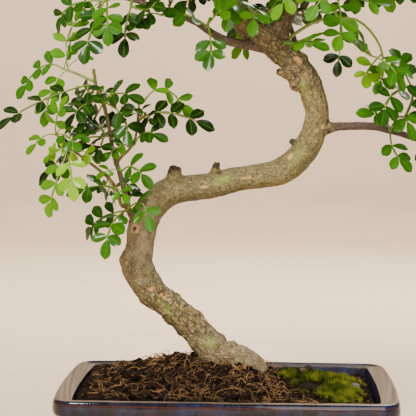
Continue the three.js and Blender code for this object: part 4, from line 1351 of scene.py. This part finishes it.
def modelPot():
    pot = modelPotBody()
    for x in potPlan["drains"]:
        drill = startShape("cylinder", vertices=40, radius=potPlan["drainRadius"] * mm, depth=30 * mm,
                           location=(x * mm, 0, 8 * mm))
        finishWith(pot, "BOOLEAN", object=drill, operation="DIFFERENCE", solver="EXACT")
        bpy.data.objects.remove(drill)
    foot = modelFoot()
    feet = [foot]
    for mirrorX, mirrorY in ((-1, 1), (1, -1), (-1, -1)):
        other = linkPiece("foot", foot.data.copy())
        other.data.transform(Matrix.Diagonal((mirrorX, mirrorY, 1, 1)))
        if mirrorX * mirrorY < 0:
            other.data.flip_normals()
        feet.append(other)
    pot = joinPieces([pot] + feet, "glazedPot")
    points = readPoints(pot) / mm
    waver = np.array([noise.noise((x * 0.045, y * 0.045, z * 0.11)) for x, y, z in points])
    fine = np.array([noise.noise((x * 0.16, y * 0.16, z * 0.3 + 5)) for x, y, z in points])
    high = np.clip((points[:, 2] - 10) / 20, 0, 1)
    normals = readPoints(pot, "normal")
    moved = points + normals * (potPlan["waver"] * (waver + 0.35 * fine) * high)[:, None]
    writePoints(pot, moved * mm)
    return pot


# How deep a point lies in the rim's matte band, how far from the outer edge, and where the glaze is dull
def markRim(pot):
    x, y, z = (readPoints(pot) / mm).T
    halfX, halfY = potPlan["length"] / 2, potPlan["depth"] / 2
    reachX, reachY = halfX - potPlan["corner"], halfY - potPlan["corner"]
    overX, overY = np.maximum(np.abs(x) - reachX, 0), np.maximum(np.abs(y) - reachY, 0)
    alongX = halfX + potPlan["bow"] * (1 - np.clip(y / reachY, -1, 1) ** 2) - np.abs(x)
    alongY = halfY + potPlan["bow"] * (1 - np.clip(x / reachX, -1, 1) ** 2) - np.abs(y)
    inset = np.where((overX > 0) & (overY > 0), potPlan["corner"] - np.hypot(overX, overY),
                     np.minimum(alongX, alongY))
    short = np.clip((alongY - alongX) / 14 + 0.5, 0, 1)
    start = short * 1.4 + (1 - short) * np.where(y < 0, 8.4, 12.6)
    depth = np.minimum(inset - start, 13.4 - inset)
    depth[(z < 67.4) | (inset > 14)] = -3
    calm = np.maximum(np.clip((inset - 13.2) / 1.4, 0, 1), (y > 40) & (inset > 1.5) & (short < 0.5))
    mark(pot, "rimBands", np.stack([depth, inset, calm], axis=1), "FLOAT_VECTOR")


def makeGlaze():
    material, tree, shader = startMaterial("potGlaze", {"Coat Roughness": 0.05, "Specular IOR Level": 0.08})
    place = objectPlace(tree)
    split = addNode(tree, "SeparateXYZ", {"Vector": place}).outputs
    wander = cloudy(tree, place, 55.0, 4.0)
    height = times(tree, wander, 0.0016, split["Z"])
    rim = readMark(tree, "rimBands")["Vector"]
    bands = addNode(tree, "SeparateXYZ", {"Vector": rim}).outputs
    drawn = addNode(tree, "Mapping", {"Vector": place, "Scale": (1.0, 1.0, 0.45)}).outputs[0]
    deep = blotches(tree, drawn, 75.0, 6.0, 0.4, 0.62, (0.004, 0.004, 0.008, 1), (0.010, 0.013, 0.042, 1))
    body = cover(tree, deep["Colour"], drawn, 190.0, 5.0, 0.56, 0.68, 0.6, (0.018, 0.033, 0.045, 1))
    body = cover(tree, body, drawn, 120.0, 5.0, 0.5, 0.64, 0.6, (0.022, 0.008, 0.007, 1))
    streaks = addNode(tree, "Mapping", {"Vector": rim, "Scale": (0.0, 0.012, 0.0)}).outputs[0]
    streaks = combine(tree, "ADD", streaks, place)
    matte = blotches(tree, streaks, 46.0, 8.0, 0.34, 0.64, (0.05, 0.037, 0.028, 1), (0.205, 0.152, 0.11, 1))
    rimTop = cover(tree, matte["Colour"], place, 620.0, 2.0, 0.64, 0.72, 0.6, (0.05, 0.032, 0.022, 1))
    edge = cloudy(tree, place, 190.0, 5.0, 0.65)
    bare = remap(tree, times(tree, edge, 4.0, bands["X"]), 1.5, 2.8)
    upper = calculate(tree, "ABSOLUTE", calculate(tree, "SUBTRACT", height, 0.0676))
    lower = calculate(tree, "ABSOLUTE", calculate(tree, "SUBTRACT", height, 0.0592))
    thin = remap(tree, calculate(tree, "MINIMUM", upper, lower), 0.0003, 0.0011, 0.6, 0.0)
    rust = times(tree, thin, remap(tree, bands["Y"], 2.4, 3.2, 1.0, 0.0))
    clay = remap(tree, height, 0.0026, 0.0036, 1.0, 0.0)
    colour = mixColours(tree, rust, body, (0.06, 0.021, 0.011, 1))
    colour = mixColours(tree, bare, colour, rimTop)
    colour = mixColours(tree, clay, colour, (0.17, 0.085, 0.05, 1))
    raw = calculate(tree, "MAXIMUM", bare, clay)
    dull = times(tree, raw, 0.3, times(tree, bands["Z"], 0.34, 0.07))
    coat = times(tree, calculate(tree, "MAXIMUM", raw, bands["Z"]), -0.5, 0.52)
    rough = times(tree, wander, 0.05, dull)
    feed(tree, shader, {"Base Color": colour, "Roughness": rough, "Coat Weight": coat})
    grain(tree, shader, place, 240.0, 2.0, 0.3, 0.0006)
    return material


def makeScreenFinish():
    material, tree, shader = startMaterial("screenPlastic", {"Specular IOR Level": 0.4})
    place = objectPlace(tree)
    dusty = blotches(tree, place, 400.0, 4.0, 0.4, 0.7, (0.018, 0.018, 0.019, 1), (0.06, 0.05, 0.04, 1))
    feed(tree, shader, {"Base Color": dusty["Colour"], "Roughness": times(tree, dusty["Mask"], 0.3, 0.45)})
    return material


pot = modelPot()
markRim(pot)
smoothShade(pot, 50)
dress(pot, makeGlaze(), "glaze")
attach(pot, "root")
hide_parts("pot")
screenMaterial = makeScreenFinish()
for name in ("drain_screen_west", "drain_screen_east"):
    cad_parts[name].data.materials.clear()
    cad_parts[name].data.materials.append(screenMaterial)
print("pot:", len(pot.data.polygons), "faces")


# Soil: a crumbly bed, loose clods on it and the curled root fibres that cover it
soilPlan = {
    "cells": (176, 118),
    "inset": 15.5,
    "corner": 4,
    "edgeHeight": 63.6,
    "moundHeight": 19.5,
    "moundAt": (-12, 8),
    "moundReach": (60, 42, 44),
    "reach": (101, 66),
    "crumbs": [(0.07, 1.7), (0.19, 1.9), (0.44, 1.3), (0.95, 0.5)],
    "clods": 900,
    "clodSize": (1.0, 3.3),
    "fibres": 880,
    "shortFibre": (7, 22),
    "longFibre": (20, 38),
    "fibreThickness": (0.13, 0.34),
    # places of small dry sprigs
    "sprigs": [(-80, 34), (-60, 26), (-53, 22), (-50, 28), (27, 22)],
    "seed": 3301,
}


def soilTop(x, y):
    middleX, middleY = soilPlan["moundAt"]
    west, east, deep = soilPlan["moundReach"]
    wide = np.where(np.asarray(x) < middleX, west, east)
    mound = soilPlan["moundHeight"] / (1 + ((x - middleX) / wide) ** 4 + ((y - middleY) / deep) ** 4)
    return soilPlan["edgeHeight"] - 0.022 * x + mound + 0.9 * np.sin(0.11 * x + 1) * np.cos(0.13 * y)


def crumble(x, y):
    total = 0.0
    for pitch, lift in soilPlan["crumbs"]:
        total += lift * (1 - 2 * abs(noise.noise((x * pitch, y * pitch, 3.1 * pitch))) * 1.6) * 0.6
    return total


def modelSoilBed():
    across, deep = soilPlan["cells"]
    bed = startShape("grid", x_subdivisions=across, y_subdivisions=deep, size=1)
    bed.name = "soilBed"
    halfX = potPlan["length"] / 2 - soilPlan["inset"]
    halfY = potPlan["depth"] / 2 - soilPlan["inset"]
    chooseEdges(bed, lambda a, b: max(abs(a.x), abs(a.y)) > 0.499 and max(abs(b.x), abs(b.y)) > 0.499
                and (a.x == b.x or a.y == b.y))
    for lower, share in ((44.0, 0.95), (2.6, 0.975)):
        extrude(0, 0, -lower)
        narrow(share, share)
    bpy.ops.mesh.edge_face_add()
    bpy.ops.object.mode_set(mode="OBJECT")
    points = readPoints(bed)
    x, y = points[:, 0] * 2 * halfX, points[:, 1] * 2 * halfY
    corner = soilPlan["corner"]
    cornerX, cornerY = np.maximum(np.abs(x) - halfX + corner, 0), np.maximum(np.abs(y) - halfY + corner, 0)
    spare = np.maximum(np.hypot(cornerX, cornerY), corner) / corner
    inCorner = (cornerX > 0) & (cornerY > 0)
    x = np.where(inCorner, np.sign(x) * (halfX - corner + cornerX / spare), x)
    y = np.where(inCorner, np.sign(y) * (halfY - corner + cornerY / spare), y)
    top = points[:, 2] > -1
    z = np.where(points[:, 2] < -45, 14.6, 17.5)
    heights = np.array([crumble(px, py) for px, py in zip(x[top], y[top])])
    z[top] = soilTop(x[top], y[top]) + heights - 0.6
    writePoints(bed, np.stack([x, y, z], axis=1) * mm)
    pick(bed)
    bpy.ops.object.mode_set(mode="EDIT")
    faceOutward()
    bpy.ops.object.mode_set(mode="OBJECT")
    return bed


def modelClod(seed):
    clod = startShape("ico_sphere", subdivisions=2, radius=1)
    points = readPoints(clod)
    bulge = np.array([noise.noise(Vector(point) * 1.3 + Vector((seed, 0, 0))) for point in points])
    pits = np.array([noise.noise(Vector(point) * 3.1 + Vector((0, seed, 0))) for point in points])
    writePoints(clod, points * (1 + 0.55 * bulge + 0.3 * pits)[:, None] * mm)
    shape = takeShape(clod)
    bpy.data.objects.remove(clod)
    return shape


def inSoil(x, y):
    return abs(x) < soilPlan["reach"][0] and abs(y) < soilPlan["reach"][1]


def scatterClods(draw):
    clods = [modelClod(seed) for seed in (1.7, 4.2, 8.9)]
    placements = []
    while len(placements) < soilPlan["clods"]:
        x, y = draw(-103, 103), draw(-68, 68)
        if not inSoil(x, y):
            continue
        size = draw(*soilPlan["clodSize"]) * (0.6 if draw(0, 1) > 0.3 else 1.0)
        turn = Matrix.Rotation(draw(0, 6.28), 3, "Z") @ Matrix.Rotation(draw(0, 6.28), 3, "X")
        flat = Matrix.Diagonal((size * draw(0.8, 1.3), size, size * draw(0.6, 1.0)))
        axes = np.array(turn @ flat).T
        origin = vec([x, y, float(soilTop(x, y)) + crumble(x, y) * 0.6 + 0.3 * size])
        placements.append((clods[int(draw(0, 2.99))], origin, axes, draw(0, 1)))
    return repeatShapes("soilClods", placements)


# A fibre wanders over the soil in loose curls and dips back into it at both ends
def growFibre(draw, x, y, length, lift):
    heading = draw(0, 2 * math.pi)
    bend = draw(-0.16, 0.16)
    steps = max(6, int(length / 1.7))
    pace = length / steps
    thick = draw(*soilPlan["fibreThickness"]) * (1.7 if draw(0, 1) > 0.94 else 1.0)
    rise = draw(0.3, 1.0) * lift
    points = []
    for i in range(steps + 1):
        share = i / steps
        height = float(soilTop(x, y)) + 0.45 + rise * math.sin(math.pi * share) ** 0.8 + draw(-0.25, 0.35)
        if share in (0, 1):
            height -= 1.2
        points.append([x, y, height, thick * (1.1 - 0.55 * share)])
        bend = 0.66 * bend + draw(-0.42, 0.42)
        heading += bend * pace
        x += pace * math.cos(heading)
        y += pace * math.sin(heading)
        if not inSoil(x, y):
            break
    return points


def growFibres(draw):
    fibres = []
    while len(fibres) < soilPlan["fibres"]:
        x, y = draw(-100, 100), draw(-65, 65)
        inMoss = ((x - 70 + 0.13 * y) / (31 + 0.08 * y)) ** 2 + ((y - 2) / 60) ** 2 < 1
        if inMoss and draw(0, 1) > 0.2:
            continue
        if x < -62 and draw(0, 1) > 0.62:
            continue
        length = draw(*soilPlan["shortFibre"]) if draw(0, 1) > 0.2 else draw(*soilPlan["longFibre"])
        lift = 6.5 if draw(0, 1) > 0.8 else 2.2
        fibre = growFibre(draw, x, y, length, lift)
        if len(fibre) > 4:
            fibres.append(fibre)
    for x, y in soilPlan["sprigs"]:
        for _ in range(6):
            heading, lean, length = draw(0, 6.28), draw(0.1, 0.8), draw(4, 8)
            base = vec([x + draw(-2, 2), y + draw(-2, 2), float(soilTop(x, y)) - 1])
            reach = vec([math.cos(heading) * lean, math.sin(heading) * lean, 1]) * length
            bow = vec([draw(-1, 1), draw(-1, 1), 0])
            fibres.append([[*(base + reach * s + bow * s * s), 0.34 - 0.2 * s] for s in (0, 0.35, 0.7, 1)])
    return makeStalks("rootFibres", fibres, 0)


def makeSoilFinish(name, dark, light, ochre):
    material, tree, shader = startMaterial(name, {"Roughness": 0.95, "Specular IOR Level": 0.04})
    place = objectPlace(tree)
    base = blotches(tree, place, 210.0, 6.0, 0.36, 0.66, dark, light)["Colour"]
    feed(tree, shader, {"Base Color": cover(tree, base, place, 640.0, 4.0, 0.58, 0.7, 0.55, ochre)})
    grain(tree, shader, place, 1100.0, 5.0, 0.9, 0.0012, 0.7)
    return material


def makeFibreFinish():
    material, tree, shader = startMaterial("rootFibre", {"Roughness": 0.7, "Specular IOR Level": 0.15})
    place = objectPlace(tree)
    base = blotches(tree, place, 120.0, 4.0, 0.38, 0.66, (0.024, 0.0115, 0.006, 1), (0.29, 0.155, 0.055, 1))
    colour = cover(tree, base["Colour"], place, 48.0, 3.0, 0.5, 0.66, 0.8, (0.022, 0.01, 0.005, 1))
    feed(tree, shader, {"Base Color": colour})
    grain(tree, shader, place, 1600.0, 2.0, 0.4, 0.0003)
    return material


soilDraw = makeDraw(soilPlan["seed"])
soilMaterial = makeSoilFinish("soil", (0.002, 0.0013, 0.001, 1), (0.021, 0.0115, 0.0075, 1),
                              (0.085, 0.045, 0.022, 1))
bed = modelSoilBed()
smoothShade(bed, 60)
dress(bed, soilMaterial, "soil")
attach(bed, "root")
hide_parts("soil")
clods = scatterClods(soilDraw)
smoothShade(clods)
dress(clods, soilMaterial, "soil")
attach(clods, "root")
fibres = growFibres(soilDraw)
smoothShade(fibres)
dress(fibres, makeFibreFinish(), "soil")
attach(fibres, "root")
print("soil:", len(bed.data.polygons), "bed,", len(clods.data.polygons), "clods,",
      len(fibres.data.polygons), "fibres")


# Moss: a soft cushion closely set with small spiky tufts
mossPlan = {
    "thickness": 4.0,
    "rings": 22,
    "points": 96,
    "tufts": 1650,
    "tuftSize": (1.0, 2.3),
    "spikes": 8,
    "reach": (102, 67),
    "seed": 7741,
}
mossGreens = [
    (0.0, (0.009, 0.011, 0.003, 1)), (0.35, (0.022, 0.034, 0.004, 1)),
    (0.7, (0.08, 0.10, 0.008, 1)), (1.0, (0.22, 0.235, 0.02, 1)),
]


def mossEdge(angle, share):
    wobble = 1 + 0.07 * np.sin(3 * angle + 0.6) + 0.05 * np.sin(5 * angle)
    square = lambda value: np.sign(value) * np.abs(value) ** 0.8
    y = 2 + 60 * share * wobble * square(np.sin(angle))
    x = 70 - 0.13 * y + (30 + 0.08 * y) * share * wobble * square(np.cos(angle))
    return x, y


def mossTop(x, y, share):
    bumps = 0.8 * np.sin(0.33 * x) * np.cos(0.29 * y) + 0.6 * np.sin(0.17 * x + 0.21 * y)
    hump = 2.6 * np.exp(-(((x - 48) / 24) ** 2) - ((y - 46) / 24) ** 2)
    return soilTop(x, y) + (mossPlan["thickness"] + bumps + hump) * (1 - share**4) - 0.6 * share**4


# Moss grows in clumps and leaves the soil bare between them
def baldness(x, y):
    return (noise.noise((x * 0.085, y * 0.085, 2.2)) + 0.6 * noise.noise((x * 0.26, y * 0.26, 6))
            + 0.012 * (78 - x) * (y < 10) + 0.05)


def modelMoss():
    moss = startShape("circle", vertices=mossPlan["points"], radius=1, fill_type="NGON")
    moss.name = "mossCushion"
    bpy.ops.object.mode_set(mode="EDIT")
    bpy.ops.mesh.select_all(action="SELECT")
    extrude(0, 0, 1)
    faceOutward()
    chooseFaces(moss, lambda face: face.normal.z > 0.9)
    shares = [1 - i / mossPlan["rings"] for i in range(mossPlan["rings"])]
    for outer, inner in zip(shares, shares[1:]):
        bpy.ops.mesh.inset(thickness=0)
        narrow(inner / outer, inner / outer)
    bpy.ops.mesh.poke()
    bpy.ops.object.mode_set(mode="OBJECT")
    points = readPoints(moss)
    share = np.hypot(points[:, 0], points[:, 1])
    angle = np.arctan2(points[:, 1], points[:, 0])
    x, y = mossEdge(angle, share)
    top = points[:, 2] > 0.5
    z = mossTop(x, y, share)
    lumps = [1.1 * noise.noise((px * 0.3, py * 0.3, 0)) + 0.6 * noise.noise((px * 0.8, py * 0.8, 4))
             for px, py in zip(x[top], y[top])]
    z[top] += np.array(lumps) - 0.5
    z[~top] = soilTop(x[~top], y[~top]) - 6
    writePoints(moss, np.stack([x, y, z], axis=1) * mm)
    bald = np.array([baldness(px, py) for px, py in zip(x, y)])
    mark(moss, "bald", np.clip((bald + 0.12) * 4, 0, 1))
    return moss


# A tuft is a tight star of pointed leaves, one upright and the others around it
def modelTuft():
    spikes = []
    for i in range(mossPlan["spikes"]):
        lean = 0.1 if i == 0 else 0.4 + 0.28 * (i % 2)
        turn = i * 2 * math.pi / (mossPlan["spikes"] - 1)
        spike = startShape("cone", vertices=3, radius1=0.22, radius2=0.03, depth=2.0)
        tilted = Matrix.Rotation(turn, 4, "Z") @ Matrix.Rotation(lean, 4, "Y")
        spike.data.transform(tilted @ Matrix.Translation((0, 0, 0.85)))
        spikes.append(spike)
    tuft = joinPieces(spikes, "tuft")
    writePoints(tuft, readPoints(tuft) * mm)
    shape = takeShape(tuft)
    bpy.data.objects.remove(tuft)
    return shape


def plantMoss(draw):
    tuft = modelTuft()
    placements = []
    while len(placements) < mossPlan["tufts"]:
        angle, share = draw(0, 2 * math.pi), math.sqrt(draw(0, 1.06))
        x, y = (float(value) for value in mossEdge(angle, share))
        if abs(x) > mossPlan["reach"][0] or abs(y) > mossPlan["reach"][1]:
            continue
        bald = baldness(x, y)
        if bald > draw(0, 0.16) or (share > 0.9 and draw(0, 1) > 0.5):
            continue
        size = draw(*mossPlan["tuftSize"]) * (1.15 - 0.45 * share**3)
        z = float(mossTop(x, y, min(share, 1))) - 0.5 + 0.8 * noise.noise((x * 0.3, y * 0.3, 0))
        lean = Matrix.Rotation(draw(-0.45, 0.45), 3, "X") @ Matrix.Rotation(draw(-0.45, 0.45), 3, "Y")
        turn = lean @ Matrix.Rotation(draw(0, 6.28), 3, "Z")
        turn = turn @ Matrix.Diagonal((size, size, size * draw(1.0, 1.6)))
        tone = min(max(0.45 - bald + 0.006 * (x - 70) + draw(-0.3, 0.3), 0), 1)
        placements.append((tuft, vec([x, y, z]), np.array(turn).T, tone))
    return repeatShapes("mossTufts", placements)


def makeMossFinish(name, toned):
    material, tree, shader = startMaterial(name, {"Roughness": 0.8, "Specular IOR Level": 0.04})
    place = objectPlace(tree)
    cloud = blotches(tree, place, 85.0, 5.0, 0.34, 0.66, (0.006, 0.007, 0.002, 1), (0.03, 0.036, 0.005, 1))
    if toned:
        tips = ramp(tree, readMark(tree, "leafTone")["Fac"], mossGreens)
        colour = mixColours(tree, 0.75, cloud["Colour"], tips)
    else:
        bald = readMark(tree, "bald")["Fac"]
        colour = mixColours(tree, bald, cloud["Colour"], (0.012, 0.006, 0.0025, 1))
    feed(tree, shader, {"Base Color": colour})
    grain(tree, shader, place, 1300.0, 4.0, 0.8, 0.001)
    return material


mossDraw = makeDraw(mossPlan["seed"])
moss = modelMoss()
smoothShade(moss)
dress(moss, makeMossFinish("mossGround", False), "moss")
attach(moss, "root")
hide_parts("moss")
tufts = plantMoss(mossDraw)
dress(tufts, makeMossFinish("mossTips", True), "moss")
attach(tufts, "root")
print("moss:", len(moss.data.polygons), "cushion,", len(tufts.data.polygons), "tufts")


# Loose granules on the moss, each a pitted lump of its own
granulePlan = {
    "fertiliser_pellet": {"slot": "granule_brown", "pit": 0.10, "lump": 0.06, "seed": 2.0,
                          "colours": ((0.012, 0.006, 0.004, 1), (0.05, 0.024, 0.014, 1))},
    "clay_granule_red": {"slot": "granule_red", "pit": 0.12, "lump": 0.22, "seed": 5.0,
                         "colours": ((0.07, 0.028, 0.016, 1), (0.16, 0.07, 0.04, 1))},
    "clay_granule_grey": {"slot": "granule_grey", "pit": 0.10, "lump": 0.2, "seed": 9.0,
                          "colours": ((0.06, 0.05, 0.05, 1), (0.17, 0.14, 0.14, 1))},
}


def makeGranule(node, plan):
    low, high = (vec(corner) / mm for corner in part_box(node))
    middle, half = (low + high) / 2, (high - low) / 2
    piece = startShape("ico_sphere", subdivisions=4, radius=1)
    piece.name = "fine_" + node
    points = readPoints(piece)
    seed = Vector((plan["seed"], 0, 0))
    lump = np.array([noise.noise(Vector(point) * 1.2 + seed) for point in points])
    pits = np.array([abs(noise.noise(Vector(point) * 3.4 + seed)) for point in points])
    grown = points * (1 + plan["lump"] * lump - plan["pit"] * np.maximum(pits - 0.12, 0) * 2)[:, None]
    writePoints(piece, (grown * half + middle) * mm)
    material, tree, shader = startMaterial(node, {"Roughness": 0.85, "Specular IOR Level": 0.25})
    place = objectPlace(tree)
    mottled = blotches(tree, place, 520.0, 5.0, 0.36, 0.66, *plan["colours"])
    feed(tree, shader, {"Base Color": mottled["Colour"]})
    grain(tree, shader, place, 1500.0, 4.0, 0.8, 0.0008)
    smoothShade(piece)
    dress(piece, material, plan["slot"])
    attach(piece, "root")
    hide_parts(node)


for node, plan in granulePlan.items():
    makeGranule(node, plan)
print("granules done")


# A plain pale floor that rises softly behind, and soft studio lights
studio = {
    "floorColour": (0.86, 0.66, 0.46, 1),
    "worldColour": (1.0, 0.92, 0.82, 1),
    "worldStrength": 0.36,
    "lights": [
        # name, place, aim, size, power, tint
        ["keyLight", (-0.7, -1.3, 1.3), (0, 0, 0.2), 0.5, 62, (1.0, 0.95, 0.87)],
        ["fillLight", (0.6, -1.6, 0.7), (0, 0, 0.2), 1.2, 27, (1.0, 0.97, 0.93)],
        ["backLight", (0.5, 1.2, 1.3), (0, 0, 0.22), 0.6, 24, (1.0, 0.97, 0.92)],
        ["wallLight", (0.0, 0.9, 1.5), (0, 2.9, 0.5), 1.6, 48, (1.0, 0.95, 0.88)],
    ],
}


def makeStudio():
    floor = startShape("plane", size=1)
    floor.name = "floor"
    bpy.ops.object.mode_set(mode="EDIT")
    bpy.ops.transform.resize(value=(8, 5, 1))
    bpy.ops.transform.translate(value=(0, -0.6, 0))
    chooseEdges(floor, lambda a, b: a.y > 1.5 and b.y > 1.5)
    for lift, away in ((0.05, 0.5), (0.2, 0.35), (0.45, 0.2), (2.6, 0.1)):
        extrude(0, away, lift)
    bpy.ops.object.mode_set(mode="OBJECT")
    smoothShade(floor)
    material, tree, shader = startMaterial("paleFloor", {"Roughness": 0.75})
    darker = tuple(0.97 * c for c in studio["floorColour"][:3]) + (1,)
    soft = blotches(tree, objectPlace(tree), 3.0, 2.0, 0.2, 0.8, studio["floorColour"], darker)
    feed(tree, shader, {"Base Color": soft["Colour"]})
    floor.data.materials.append(material)
    world = bpy.data.worlds.new("studio")
    bpy.context.scene.world = world
    world.use_nodes = True
    sky = world.node_tree.nodes["Background"]
    sky.inputs["Color"].default_value = studio["worldColour"]
    sky.inputs["Strength"].default_value = studio["worldStrength"]
    for name, place, aim, size, power, tint in studio["lights"]:
        bpy.ops.object.light_add(type="AREA", location=place)
        lamp = bpy.context.object
        lamp.name = name
        lamp.data.energy = power
        lamp.data.size = size
        lamp.data.color = tint
        lamp.rotation_euler = (Vector(aim) - Vector(place)).to_track_quat("-Z", "Y").to_euler()


makeStudio()
print("studio ready")
